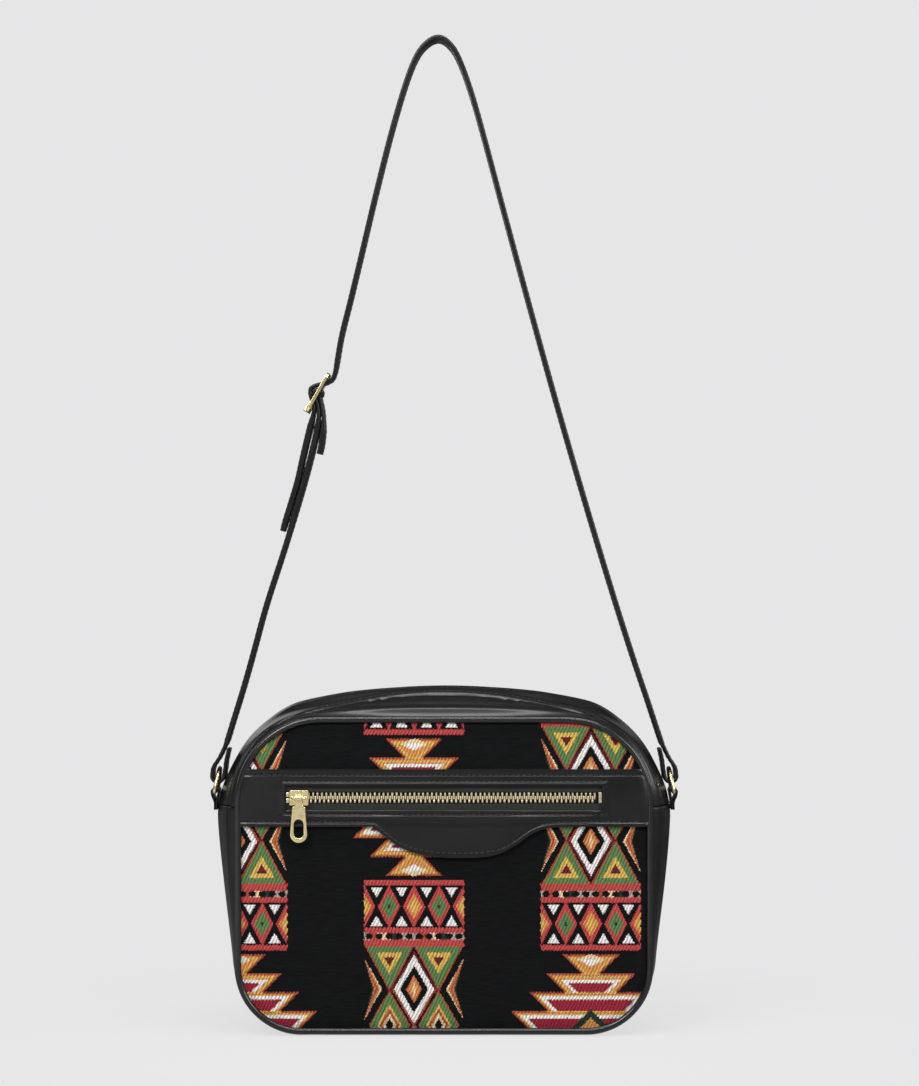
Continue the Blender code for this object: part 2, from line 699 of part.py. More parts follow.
def wrap_on_crest(solid, radius):
    """Bend a flat solid lying at z = 0 round the crest's centre, at a radius."""
    work = bmesh.new()
    work.from_mesh(solid.data)
    bmesh.ops.beautify_fill(work, faces=work.faces, edges=work.edges, method="AREA")
    for vertex in work.verts:
        angle = vertex.co.x / radius
        reach = radius + vertex.co.z
        vertex.co = Vector((reach * math.sin(angle), vertex.co.y, CREST_CENTRE_Z + reach * math.cos(angle)))
    work.to_mesh(solid.data)
    work.free()
    return solid


def build_front_zip():
    """Two tapes with a row of metal teeth each, and the stops at their ends."""
    half = TAPE_LENGTH / 2
    for side, place in ((-1, "lower"), (1, "upper")):
        edges = sorted((ZIP_HEIGHT + side * TAPE_INNER, ZIP_HEIGHT + side * TAPE_OUTER))
        box("front_zip_tape_" + place, (-half, CHAIN_Y - TAPE_THICKNESS / 2, edges[0]),
            (half, CHAIN_Y + TAPE_THICKNESS / 2, edges[1]), "tape")
        row = [(x, ZIP_HEIGHT + side * up) for x, up in comb(CHAIN_LENGTH)]
        upright_plate("front_teeth_" + place, [row], CHAIN_Y - TOOTH_HEIGHT / 2, CHAIN_Y + TOOTH_HEIGHT / 2,
                      "brass")
        stop = sorted((ZIP_HEIGHT + side * TOOTH_TIP, ZIP_HEIGHT + side * SPINE_OUTER))
        stop_end = -CHAIN_LENGTH / 2 - CLEARANCE
        soften(box("front_top_stop_" + place, (stop_end - STOP_LENGTH, CHAIN_Y - TOOTH_HEIGHT / 2, stop[0]),
                   (stop_end, CHAIN_Y + TOOTH_HEIGHT / 2, stop[1]), "brass"), STOP_EDGE)
    start = CHAIN_LENGTH / 2 + CLEARANCE
    soften(box("front_bottom_stop", (start, CHAIN_Y - TOOTH_HEIGHT / 2, ZIP_HEIGHT - SPINE_OUTER),
               (start + STOP_LENGTH, CHAIN_Y + TOOTH_HEIGHT / 2, ZIP_HEIGHT + SPINE_OUTER), "brass"), STOP_EDGE)


def build_top_zip():
    """The main zip, whose tapes and teeth follow the crest under the gusset's opening."""
    teeth_length = TOP_SLOT_LENGTH - 2 * TEETH_END_GAP
    slot_angle = math.asin(TOP_SLOT_LENGTH / 2 / CREST_RADIUS)
    tape_angles = spread(-slot_angle - TAPE_END_ANGLE, slot_angle + TAPE_END_ANGLE, 25)
    for side, place in ((-1, "front"), (1, "rear")):
        sections = []
        near, far = side * TAPE_INNER, side * TOP_TAPE_OUTER
        for angle in tape_angles:
            section = []
            for depth, rise in ((near, -1), (far, -1), (far, 1), (near, 1)):
                reach = CHAIN_RADIUS + rise * TAPE_THICKNESS / 2
                section.append((reach * math.sin(angle), depth, CREST_CENTRE_Z + reach * math.cos(angle)))
            sections.append(section)
        loft("top_zip_tape_" + place, sections, "tape")
        row = [(x, side * across) for x, across in comb(teeth_length, bends=True)]
        wrap_on_crest(as_mesh(flat_outline("top_teeth_" + place, [row], TOOTH_HEIGHT, "brass")), CHAIN_RADIUS)


def build_slider(name, bail_height, bail_turn):
    """A zip slider in its own frame: two plates, a post between them, side flanges and a bail."""
    half_x = SLIDER_LENGTH / 2
    half_y = SLIDER_WIDTH / 2
    low = SLIDER_PLATE_LOW
    high = low + SLIDER_PLATE
    inside = high - SLIDER_OVERLAP
    top = soften(box(name, (-half_x, -half_y, low), (half_x, half_y, high), "brass"), SLIDER_EDGE)
    bottom = box(name + "_sole", (-half_x, -half_y, -high), (half_x, half_y, -low), "brass")
    post = box(name + "_post", (-half_x + SLIDER_POST_START, -SLIDER_POST / 2, -inside),
               (-half_x + SLIDER_POST_END, SLIDER_POST / 2, inside), "brass")
    combine(top, bottom, "UNION")
    combine(top, post, "UNION")
    for side in (-1, 1):
        edges = sorted((side * half_y, side * (half_y - SLIDER_FLANGE)))
        reach = TAPE_THICKNESS / 2 + FLANGE_LIFT
        flange = box(f"{name}_flange_{side}", (-half_x + FLANGE_END, edges[0], reach),
                     (half_x - FLANGE_END, edges[1], inside), "brass")
        combine(top, flange, "UNION")
    span = BAIL_SPAN / 2
    near = 0.35 * BAIL_CORNER
    foot = high - BAIL_FOOT
    arch = [(span - BAIL_CORNER, bail_height), (span - near, bail_height - near),
            (span, bail_height - BAIL_CORNER), (span, foot)]
    arch = [(-x, z) for x, z in reversed(arch)] + arch
    points = [(x * math.cos(bail_turn), x * math.sin(bail_turn), z) for x, z in arch]
    combine(top, as_mesh(wire(name + "_bail", points, BAIL_WIRE, "brass")), "UNION")
    return top


def build_pull(name, knuckle_wall):
    """A pull tab in its own frame: a knuckle round the X axis and a slotted plate down to -Y."""
    hole = BAIL_WIRE + KNUCKLE_FIT
    knuckle = rod(name, (-KNUCKLE_WIDTH / 2, 0.0, 0.0), (KNUCKLE_WIDTH / 2, 0.0, 0.0), hole + knuckle_wall,
                  "brass", 20)
    half = PULL_WIDTH / 2
    round_at = -PULL_LENGTH + half
    edge = [(NECK_HALF, -hole - knuckle_wall / 5), (NECK_HALF, -0.32 * PULL_WIDTH), (0.52 * half, -0.44 * PULL_WIDTH),
            (0.74 * half, -0.54 * PULL_WIDTH), (0.82 * half, -0.95 * PULL_WIDTH)]
    edge += [(half * math.cos(turn), round_at + half * math.sin(turn))
             for turn in spread(0.0, -math.pi / 2, 8)]
    outline = edge + [(-x, y) for x, y in reversed(edge[:-1])]
    slot_half = PULL_SLOT_WIDTH / 2
    slot_low = round_at + PULL_RIM
    slot_high = slot_low + PULL_SLOT_LENGTH - PULL_SLOT_WIDTH
    slot = [(slot_half * math.cos(turn), slot_high + slot_half * math.sin(turn))
            for turn in spread(0.0, math.pi, 8)]
    slot += [(slot_half * math.cos(turn), slot_low + slot_half * math.sin(turn))
             for turn in spread(math.pi, 2 * math.pi, 8)]
    plate = as_mesh(flat_outline(name + "_plate", [outline, slot], PULL_THICKNESS, "brass"))
    bore = rod(name + "_bore", (-KNUCKLE_WIDTH, 0.0, 0.0), (KNUCKLE_WIDTH, 0.0, 0.0), hole, "brass", 20)
    combine(knuckle, plate, "UNION")
    combine(knuckle, bore, "DIFFERENCE")
    return knuckle


def build_sliders():
    """The pocket slider hangs its pull down; the top slider lays its pull along the chain."""
    slider = build_slider("front_slider", FRONT_BAIL_HEIGHT, 0.0)
    slider.rotation_euler = (math.pi / 2, 0.0, 0.0)
    slider.location = (SLIDER_REST, CHAIN_Y, ZIP_HEIGHT)
    pull = build_pull("front_pull", FRONT_KNUCKLE_WALL)
    pull.rotation_euler = (math.pi / 2, 0.0, 0.0)
    pull.location = (SLIDER_REST, CHAIN_Y - FRONT_BAIL_HEIGHT, ZIP_HEIGHT)
    lean = top_slider_angle()
    slider = build_slider("top_slider", TOP_BAIL_HEIGHT, math.pi / 2)
    slider.rotation_euler = (0.0, -lean, 0.0)
    slider.location = (-CHAIN_RADIUS * math.sin(lean), 0.0, CREST_CENTRE_Z + CHAIN_RADIUS * math.cos(lean))
    pull = build_pull("top_pull", TOP_KNUCKLE_WALL)
    pull.rotation_euler = (Matrix.Rotation(-lean, 3, "Y") @ Matrix.Rotation(math.pi / 2, 3, "Z")).to_euler()
    reach = CHAIN_RADIUS + TOP_BAIL_HEIGHT
    pull.location = (-reach * math.sin(lean), 0.0, CREST_CENTRE_Z + reach * math.cos(lean))


def top_slider_angle():
    """Angle of the top slider about the crest's centre when it rests at the end of the opening."""
    end = math.asin(TOP_SLOT_LENGTH / 2 / CREST_RADIUS)
    return end - (SLIDER_LENGTH / 2 + SLIDER_END_GAP) / CHAIN_RADIUS


def build_pouch():
    """The thin cloth pouch behind the pocket zip, with its mouth round the chain."""
    half = POUCH_WIDTH / 2
    top = ZIP_HEIGHT + POUCH_ABOVE_ZIP
    pouch = box("pocket_pouch", (-half, POUCH_FRONT, POUCH_BOTTOM), (half, POUCH_BACK, top), "lining")
    inner = box("pouch_inside", (-half + CLOTH_WALL, POUCH_FRONT + CLOTH_WALL, POUCH_BOTTOM + CLOTH_WALL),
                (half - CLOTH_WALL, POUCH_BACK - CLOTH_WALL, top - CLOTH_WALL), "lining")
    mouth_x = half - POUCH_MOUTH_INSET
    mouth_z = POUCH_MOUTH_HEIGHT / 2
    mouth = box("pouch_mouth", (-mouth_x, POUCH_FRONT - 2 * CLOTH_WALL, ZIP_HEIGHT - mouth_z),
                (mouth_x, POUCH_FRONT + 2 * CLOTH_WALL, ZIP_HEIGHT + mouth_z), "lining")
    combine(pouch, inner, "DIFFERENCE")
    combine(pouch, mouth, "DIFFERENCE")


def build_lining():
    """The cloth lining of the main compartment, open under the top zip."""
    front = POUCH_BACK + CLEARANCE
    back = BACK_PANEL_Y - CLEARANCE
    lining = upright_plate("lining", [seam_outline(LINING_INSET)], front, back, "lining")
    inner = upright_plate("lining_inside", [seam_outline(LINING_INSET + CLOTH_WALL)], front + CLOTH_WALL,
                          back - CLOTH_WALL, "lining")
    half_x = LINING_MOUTH_WIDTH / 2
    half_y = LINING_MOUTH_DEPTH / 2
    mouth = box("lining_mouth", (-half_x, -half_y, SEAM_TOP - 2 * LINING_INSET), (half_x, half_y, SEAM_TOP),
                "lining")
    combine(lining, inner, "DIFFERENCE")
    combine(lining, mouth, "DIFFERENCE")


def ribbon_outline(line, thicknesses):
    """Outline of a strip seen edge on, from its middle line and its thickness at each point."""
    left = []
    right = []
    for index, (x, z) in enumerate(line):
        before = line[max(index - 1, 0)]
        after = line[min(index + 1, len(line) - 1)]
        run = math.hypot(after[0] - before[0], after[1] - before[1])
        across = ((before[1] - after[1]) / run, (after[0] - before[0]) / run)
        half = thicknesses[index] / 2
        left.append((x + across[0] * half, z + across[1] * half))
        right.append((x - across[0] * half, z - across[1] * half))
    return left + right[::-1]


def arc(middle, radius, start, end, count):
    """Points on an arc, with angles in degrees."""
    return [(middle[0] + radius * math.cos(math.radians(turn)), middle[1] + radius * math.sin(math.radians(turn)))
            for turn in spread(start, end, count)]


def ring_bar():
    """Where the ring's straight bar lies on the right side, as x and z."""
    out = gusset_offset(JOIN_AT, 0.0) + CLEARANCE + TAB_THICKNESS + CLEARANCE / 2 + RING_SET_OUT
    return SEAM_WIDTH / 2 + out, JOIN_Z + RING_ABOVE_JOIN


def build_tabs_and_rings():
    """Each side has a leather tab folded round the straight bar of a D-ring and sewn to the gusset."""
    bar_x, bar_z = ring_bar()
    fold = RING_WIRE + CLEARANCE + TAB_THICKNESS / 2
    leg = (TAB_THICKNESS + CLEARANCE) / 2
    legs_x = bar_x - RING_SET_OUT + leg
    for side, place in ((-1, "left"), (1, "right")):
        line = [(legs_x - leg, bar_z - TAB_DROP), (legs_x - leg, bar_z - TAB_STRAIGHT),
                (bar_x - fold * 0.75, bar_z - TAB_BEND)]
        line += arc((bar_x, bar_z), fold, 195.0, -15.0, 11)
        line += [(bar_x + fold * 0.75, bar_z - TAB_BEND), (legs_x + leg, bar_z - TAB_STRAIGHT),
                 (legs_x + leg, bar_z - TAB_DROP)]
        outline = ribbon_outline([(side * x, z) for x, z in line], [TAB_THICKNESS] * len(line))
        upright_plate("ring_tab_" + place, [outline], -TAB_WIDTH / 2, TAB_WIDTH / 2, "leather")
        corner = RING_CORNER
        half = RING_HALF_WIDTH
        flat = [(half - corner, 0.0)]
        flat += arc((half - corner, corner), corner, -60.0, 0.0, 3)
        flat += arc((0.0, RING_LEG), half, 8.0, 172.0, 15)
        flat += [(-x, z) for x, z in reversed(arc((half - corner, corner), corner, -60.0, 0.0, 3))]
        flat.append((-half + corner, 0.0))
        ring = shade(as_mesh(wire("d_ring_" + place, [(0.0, y, z) for y, z in flat], RING_WIRE, "brass",
                                  closed=True)))
        ring.location = (side * bar_x, 0.0, bar_z)
        ring.rotation_euler = (0.0, -side * RING_LEAN, 0.0)


def at_ring(side, along, across):
    """A point of the strap's loop at a ring: along the ring's plane, and across it towards the bag."""
    bar_x, bar_z = ring_bar()
    x = bar_x - along * math.sin(RING_LEAN) - across * math.cos(RING_LEAN)
    return side * x, bar_z + along * math.cos(RING_LEAN) - across * math.sin(RING_LEAN)


def ring_loop(side):
    """The strap's end folded round the ring: middle line and thickness, from the cut end to the run."""
    reach = RING_LEG + RING_HALF_WIDTH
    turn = RING_WIRE + RING_PLAY + STRAP_SKIVED / 2
    edge = math.sqrt(RING_HALF_WIDTH ** 2 - (STRAP_WIDTH / 2) ** 2)
    under_wire = RING_LEG + edge - RING_WIRE * RING_HALF_WIDTH / edge - CLEARANCE
    low = under_wire + turn - STRAP_SKIVED / 2
    places = [(reach + 12.5 * MM, 3.5 * MM), (reach + 5.5 * MM, 3.2 * MM), (reach + 0.5 * MM, turn)]
    places += [(low + turn * math.sin(math.radians(angle)), turn * math.cos(math.radians(angle)))
               for angle in spread(0.0, -180.0, 9)]
    places += [(reach + 0.5 * MM, -turn), (reach + 6.5 * MM, -1.0 * MM), (reach + 13.5 * MM, 1.0 * MM)]
    line = [at_ring(side, along, across) for along, across in places]
    return line, [STRAP_SKIVED] * len(line)


def at_run(side, height_share, side_share):
    """A point of a strap run, by shares of the way from its ring to the strap's top."""
    bar_x, bar_z = ring_bar()
    x = STRAP_TOP_X + side_share * (side * bar_x - STRAP_TOP_X)
    return x, bar_z + height_share * (STRAP_TOP - bar_z)


def at_buckle(along, across):
    """A point near the buckle: up along its plane, and out across it."""
    x, z = at_run(-1, BUCKLE_HEIGHT_SHARE, BUCKLE_SIDE_SHARE)
    cos, sin = math.cos(BUCKLE_LEAN), math.sin(BUCKLE_LEAN)
    return x + along * MM * cos - across * MM * sin, z + along * MM * sin + across * MM * cos


RIGHT_RUN = ((0.068, 0.947), (0.121, 0.892), (0.174, 0.832), (0.254, 0.749), (0.386, 0.624),
             (0.519, 0.496), (0.652, 0.383), (0.784, 0.264), (0.864, 0.200), (0.917, 0.151),
             (0.944, 0.123), (0.970, 0.091), (0.983, 0.070), (0.991, 0.048), (0.9975, 0.025), (1.0, 0.0))
LEFT_UPPER_RUN = ((0.9975, 0.028), (0.991, 0.056), (0.983, 0.083), (0.970, 0.108), (0.944, 0.142), (0.917, 0.168),
                  (0.864, 0.223), (0.784, 0.287), (0.705, 0.350), (0.652, 0.393), (0.605, 0.433))
LEFT_LOWER_RUN = ((0.439, 0.586), (0.413, 0.605), (0.386, 0.628), (0.360, 0.655), (0.333, 0.675),
                  (0.307, 0.707), (0.280, 0.735), (0.254, 0.765), (0.227, 0.792), (0.200, 0.814),
                  (0.174, 0.839), (0.147, 0.864), (0.121, 0.890), (0.094, 0.920), (0.068, 0.946))


def build_long_strap():
    """From the right ring up over the top, through the buckle, to the punched free end."""
    line, thick = ring_loop(1)
    run = [at_run(1, high, out) for high, out in RIGHT_RUN]
    run += [at_run(-1, high, out) for high, out in LEFT_UPPER_RUN]
    line += run
    thick += [STRAP_THICKNESS] * len(run)
    through = [(22.0, -0.6), (17.0, -2.4), (12.0, -3.4), (9.0, -2.3), (6.0, 0.2), (3.2, 3.3), (0.0, 4.9),
               (-3.2, 3.3), (-6.0, 0.2), (-9.0, -2.4), (-12.0, -3.7)]
    line += [at_buckle(along, across) for along, across in through]
    thick += [STRAP_THICKNESS, STRAP_THICKNESS - 0.4 * MM] + [STRAP_SKIVED] * (len(through) - 2)
    tail = [(-19.0, -5.6), (-27.2, -7.9), (-38.8, -11.3), (-50.3, -14.8), (-62.3, -17.6), (-74.3, -20.2),
            (-81.0, -21.8)]
    line += [at_buckle(along, across) for along, across in tail]
    thick += [STRAP_THICKNESS - 0.4 * MM] * (len(tail) - 1) + [STRAP_SKIVED]
    strap = upright_plate("long_strap", [ribbon_outline(line, thick)], -STRAP_WIDTH / 2, STRAP_WIDTH / 2,
                          "leather")
    cut_prong_slot(strap, -11.0, 0.5)
    for along, across in ((-30.0, -8.7), (-50.0, -14.7)):
        start = at_buckle(along, across - 6.0)
        end = at_buckle(along, across + 6.0)
        hole = rod(f"strap_hole_{-along:.0f}", (start[0], 0.0, start[1]), (end[0], 0.0, end[1]), HOLE_RADIUS,
                   "leather", 12)
        combine(strap, hole, "DIFFERENCE")


def build_short_strap():
    """From the buckle's centre bar down to the left ring, folded back and sewn at both ends."""
    wrap = BUCKLE_BAR + BUCKLE_BAR_FIT + STRAP_SKIVED / 2
    wrap_mm = wrap / MM
    fold = [(-30.8, -18.4), (-25.0, -16.6), (-18.0, -13.6), (-12.0, -10.6), (-7.6, -7.6), (-4.4, -4.9)]
    turn = [(wrap_mm * math.sin(math.radians(angle)), -wrap_mm * math.cos(math.radians(angle)))
            for angle in spread(-30.0, 225.0, 12)]
    middle = [(-4.4, -1.4), (-7.4, -4.4), (-12.0, -7.2), (-18.0, -9.7), (-25.3, -12.1), (-36.9, -15.4),
              (-48.6, -18.4), (-60.4, -21.0)]
    near = fold + turn + middle
    line = [at_buckle(along, across) for along, across in near]
    thick = [STRAP_SKIVED] * len(line)
    run = [at_run(-1, high, out) for high, out in LEFT_LOWER_RUN]
    start_z = line[-1][1] - 12.0 * MM
    run = [point for point in run if point[1] < start_z]
    loop, loop_thick = ring_loop(-1)
    line += run + loop[::-1]
    thick += [STRAP_THICKNESS] * len(run) + loop_thick
    strap = upright_plate("short_strap", [ribbon_outline(line, thick)], -STRAP_WIDTH / 2, STRAP_WIDTH / 2,
                          "leather")
    cut_prong_slot(strap, -6.4, 4.2)


def cut_prong_slot(strap, low, high):
    """Open a slot in the middle of a strap, so that the prong can pass."""
    half = PRONG_SLOT / 2
    slot = box(strap.name + "_prong_slot", (low * MM, -half, -4.2 * MM), (high * MM, half, 7.5 * MM), "leather")
    x, z = at_buckle(0.0, 0.0)
    slot.location = (x, 0.0, z)
    slot.rotation_euler = (0.0, -BUCKLE_LEAN, 0.0)
    combine(strap, slot, "DIFFERENCE")


def rounded_rectangle(half_x, half_y, corner, steps=5):
    """Outline of a rectangle with round corners."""
    outline = []
    for sign_x, sign_y, start in ((1, 1, 0.0), (-1, 1, 90.0), (-1, -1, 180.0), (1, -1, 270.0)):
        outline += arc((sign_x * (half_x - corner), sign_y * (half_y - corner)), corner, start, start + 90.0,
                       steps)
    return outline


def build_buckle():
    """A centre-bar buckle on the short strap's fold, with a prong that turns on the bar."""
    half_x = BUCKLE_LENGTH / 2
    half_y = STRAP_WIDTH / 2 + BUCKLE_SIDE_GAP + BUCKLE_RAIL
    outer = rounded_rectangle(half_x, half_y, BUCKLE_CORNER)
    inner = rounded_rectangle(half_x - BUCKLE_RAIL, half_y - BUCKLE_RAIL, BUCKLE_CORNER - BUCKLE_RAIL / 2)
    frame = as_mesh(flat_outline("buckle_frame", [outer, inner], BUCKLE_THICKNESS, "brass"))
    soften(frame, BUCKLE_EDGE)
    reach = half_y - BUCKLE_RAIL / 2
    bar_solid = rod("buckle_bar", (0.0, -reach, 0.0), (0.0, reach, 0.0), BUCKLE_BAR, "brass")
    combine(frame, bar_solid, "UNION")
    x, z = at_buckle(0.0, 0.0)
    hole = BUCKLE_BAR + KNUCKLE_FIT
    eye_half = PRONG_EYE_WIDTH / 2
    prong = rod("buckle_prong", (0.0, -eye_half, 0.0), (0.0, eye_half, 0.0), hole + PRONG_EYE_WALL, "brass", 20)
    rest = BUCKLE_THICKNESS / 2 + CLEARANCE + PRONG_RADIUS
    shaft = [(-hole - PRONG_ROOT, 0.0, PRONG_ROOT_LIFT), (-PRONG_REACH * 0.6, 0.0, rest * 0.82),
             (-PRONG_REACH + PRONG_BEND, 0.0, rest), (-PRONG_REACH, 0.0, rest - PRONG_TIP_DROP)]
    combine(prong, as_mesh(wire("prong_shaft", shaft, PRONG_RADIUS, "brass")), "UNION")
    bore = rod("prong_bore", (0.0, -4 * eye_half, 0.0), (0.0, 4 * eye_half, 0.0), hole, "brass", 20)
    combine(prong, bore, "DIFFERENCE")
    for piece in (frame, prong):
        piece.location = (x, 0.0, z)
        piece.rotation_euler = (0.0, -BUCKLE_LEAN, 0.0)


build_gussets()
build_pipings()
build_front_fabric()
build_back_panel()
build_pocket_panel()
build_front_zip()
build_top_zip()
build_sliders()
build_pouch()
build_lining()
build_tabs_and_rings()
build_long_strap()
build_short_strap()
build_buckle()
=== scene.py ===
"""The looks of a crossbody camera bag: woven kilim front, black faux leather, and pale gold fittings.

Lengths are in metres. The bag stands on its base at z = 0 with its woven front towards -Y.
"""
import math
import bmesh
import bpy
from mathutils import Matrix, Vector, noise


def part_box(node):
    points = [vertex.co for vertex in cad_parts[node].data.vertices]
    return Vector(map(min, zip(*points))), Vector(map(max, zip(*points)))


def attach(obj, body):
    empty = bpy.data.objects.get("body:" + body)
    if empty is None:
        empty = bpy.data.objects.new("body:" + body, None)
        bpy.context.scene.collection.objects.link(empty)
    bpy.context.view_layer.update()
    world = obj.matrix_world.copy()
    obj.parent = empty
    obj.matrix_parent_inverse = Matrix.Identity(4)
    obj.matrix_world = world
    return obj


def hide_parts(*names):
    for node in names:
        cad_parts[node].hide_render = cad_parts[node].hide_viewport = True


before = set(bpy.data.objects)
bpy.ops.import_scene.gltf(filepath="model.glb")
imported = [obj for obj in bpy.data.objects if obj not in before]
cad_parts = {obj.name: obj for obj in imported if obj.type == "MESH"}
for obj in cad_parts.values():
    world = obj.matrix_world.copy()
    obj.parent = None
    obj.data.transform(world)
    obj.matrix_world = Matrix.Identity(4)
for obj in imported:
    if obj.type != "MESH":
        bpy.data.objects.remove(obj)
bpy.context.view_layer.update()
MM = 0.001

# The camera stands a long way off and level, a little above the middle of the raised strap.
# One pixel of the 919 by 1086 photograph is 0.577 mm on the bag's front.
PIXEL = 0.577 * MM
PHOTO_WIDTH = 919
PHOTO_HEIGHT = 1086
BAG_MIDDLE_PX = 444.0
BASE_PX = 1036.0
CAMERA_DISTANCE = 1.8
front_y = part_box("front_piping")[0][1]
view_across = (PHOTO_WIDTH / 2 - BAG_MIDDLE_PX) * PIXEL
view_up = (BASE_PX - PHOTO_HEIGHT / 2) * PIXEL
lens = bpy.data.cameras.new("camera")
lens.sensor_width = 36.0
lens.lens = lens.sensor_width * CAMERA_DISTANCE / (PHOTO_HEIGHT * PIXEL)
camera = bpy.data.objects.new("camera", lens)
camera.location = (view_across, front_y - CAMERA_DISTANCE, view_up)
camera.rotation_euler = (math.pi / 2, 0.0, 0.0)
bpy.context.scene.collection.objects.link(camera)
bpy.context.scene.camera = camera
bpy.context.scene.view_settings.view_transform = "Standard"


# Soft studio light: two panels above and to either side of the camera, two narrow strips overhead
# for the folds of the leather, dimmer panels behind and at the right, and a room darker behind.
def light_panel(name, place, target, width, height, brightness):
    """A soft rectangular lamp that looks at a point, with the brightness of its face."""
    lamp = bpy.data.lights.new(name, "AREA")
    lamp.shape = "RECTANGLE"
    lamp.size = width
    lamp.size_y = height
    lamp.energy = brightness * math.pi * width * height
    panel = bpy.data.objects.new(name, lamp)
    panel.location = place
    panel.rotation_euler = (Vector(target) - Vector(place)).to_track_quat("-Z", "Y").to_euler()
    bpy.context.scene.collection.objects.link(panel)


light_panel("key_panel", (-1.1, -1.6, 1.5), (0.0, 0.0, 0.12), 1.0, 0.8, 10.0)
light_panel("fold_strip", (0.0, -1.35, 1.35), (0.0, 0.0, 0.12), 1.6, 0.14, 18.0)
light_panel("fill_panel", (1.5, -1.6, 0.9), (0.0, 0.0, 0.12), 0.6, 1.0, 9.0)
light_panel("top_strip", (0.0, -0.25, 1.3), (0.0, 0.0, 0.2), 1.2, 0.16, 13.0)
light_panel("rear_panel", (-1.1, 1.7, 0.9), (0.0, 0.0, 0.15), 1.3, 1.3, 1.2)
light_panel("rear_fill", (1.2, 1.7, 0.7), (0.0, 0.0, 0.15), 1.1, 1.1, 0.35)
light_panel("side_panel", (1.8, 0.1, 0.8), (0.0, 0.0, 0.15), 0.7, 0.9, 4.0)

BACKDROP_GREY = (0.79, 0.79, 0.80, 1.0)
ROOM_FRONT = 0.24
ROOM_BACK = 0.10


def add_node(tree, kind, feeds=None, values=None, **settings):
    """A shader node, given its settings, the plain values of its sockets and what feeds them."""
    made = tree.nodes.new(kind)
    for setting, value in settings.items():
        setattr(made, setting, value)
    for socket, value in (values or {}).items():
        made.inputs[socket].default_value = value
    for socket, source in (feeds or {}).items():
        tree.links.new(source, made.inputs[socket])
    return made


world = bpy.data.worlds.new("pale_room")
bpy.context.scene.world = world
world.use_nodes = True
room = world.node_tree
room.nodes.clear()
room_where = add_node(room, "ShaderNodeTexCoord").outputs["Generated"]
room_depth = add_node(room, "ShaderNodeSeparateXYZ", {0: room_where}).outputs["Y"]
room_dimming = add_node(room, "ShaderNodeMapRange", {"Value": room_depth},
                        {"From Min": -0.1, "From Max": 0.7, "To Min": ROOM_FRONT, "To Max": ROOM_BACK})
room_light = add_node(room, "ShaderNodeBackground", {"Strength": room_dimming.outputs[0]},
                      {"Color": (1.0, 1.0, 1.0, 1.0)})
room_seen = add_node(room, "ShaderNodeBackground", None, {"Color": BACKDROP_GREY, "Strength": 1.0})
room_path = add_node(room, "ShaderNodeLightPath")
room_mix = add_node(room, "ShaderNodeMixShader", {0: room_path.outputs["Is Camera Ray"],
                                                  1: room_light.outputs[0], 2: room_seen.outputs[0]})
add_node(room, "ShaderNodeOutputWorld", {"Surface": room_mix.outputs[0]})


# The floor is a wide pale sheet under the bag. It keeps the bag's soft shadow close by, and fades
# into the backdrop's own grey further out.
FLOOR_HALF = 6.0
FLOOR_GAP = 0.0004
LIT_REACH = 0.14
PLAIN_REACH = 0.42


def as_mesh(work, name):
    """Turn a mesh being made into finished mesh data."""
    mesh = bpy.data.meshes.new(name)
    work.to_mesh(mesh)
    work.free()
    return mesh


def paper():
    """Matt paper that is lit near the bag, and gives plain backdrop grey beyond."""
    material = bpy.data.materials.new("paper")
    material.use_nodes = True
    tree = material.node_tree
    tree.nodes.clear()
    where = add_node(tree, "ShaderNodeTexCoord").outputs["Object"]
    from_camera = add_node(tree, "ShaderNodeLightPath").outputs["Is Camera Ray"]
    reach = add_node(tree, "ShaderNodeVectorMath", {0: where}, operation="LENGTH")
    fade = add_node(tree, "ShaderNodeMapRange", {"Value": reach.outputs["Value"]},
                    {"From Min": LIT_REACH, "From Max": PLAIN_REACH}, interpolation_type="SMOOTHSTEP")
    seen = add_node(tree, "ShaderNodeMath", {0: from_camera}, {1: 0.36, 2: 0.50}, operation="MULTIPLY_ADD")
    glow = add_node(tree, "ShaderNodeEmission", {"Strength": seen.outputs[0]}, {"Color": BACKDROP_GREY})
    matt = add_node(tree, "ShaderNodeBsdfDiffuse", None, {"Color": (0.10, 0.10, 0.101, 1.0)})
    lit = add_node(tree, "ShaderNodeAddShader", {0: matt.outputs[0], 1: glow.outputs[0]})
    sides = add_node(tree, "ShaderNodeSeparateXYZ", {0: where})
    across = add_node(tree, "ShaderNodeMapRange", {"Value": sides.outputs["X"]},
                      {"From Min": -0.35, "From Max": 0.35, "To Min": 1.15, "To Max": 0.45})
    behind = add_node(tree, "ShaderNodeMapRange", {"Value": sides.outputs["Y"]},
                      {"From Min": -0.2, "From Max": 0.2, "To Min": 1.0, "To Max": 0.18})
    sheen = add_node(tree, "ShaderNodeMath", {0: across.outputs[0], 1: behind.outputs[0]},
                     operation="MULTIPLY")
    even = add_node(tree, "ShaderNodeMix", {"Factor": from_camera, 2: sheen.outputs[0]}, {3: 1.0})
    plain = add_node(tree, "ShaderNodeEmission", {"Strength": even.outputs[0]}, {"Color": BACKDROP_GREY})
    both = add_node(tree, "ShaderNodeMixShader", {0: fade.outputs[0], 1: lit.outputs[0], 2: plain.outputs[0]})
    add_node(tree, "ShaderNodeOutputMaterial", {"Surface": both.outputs[0]})
    return material


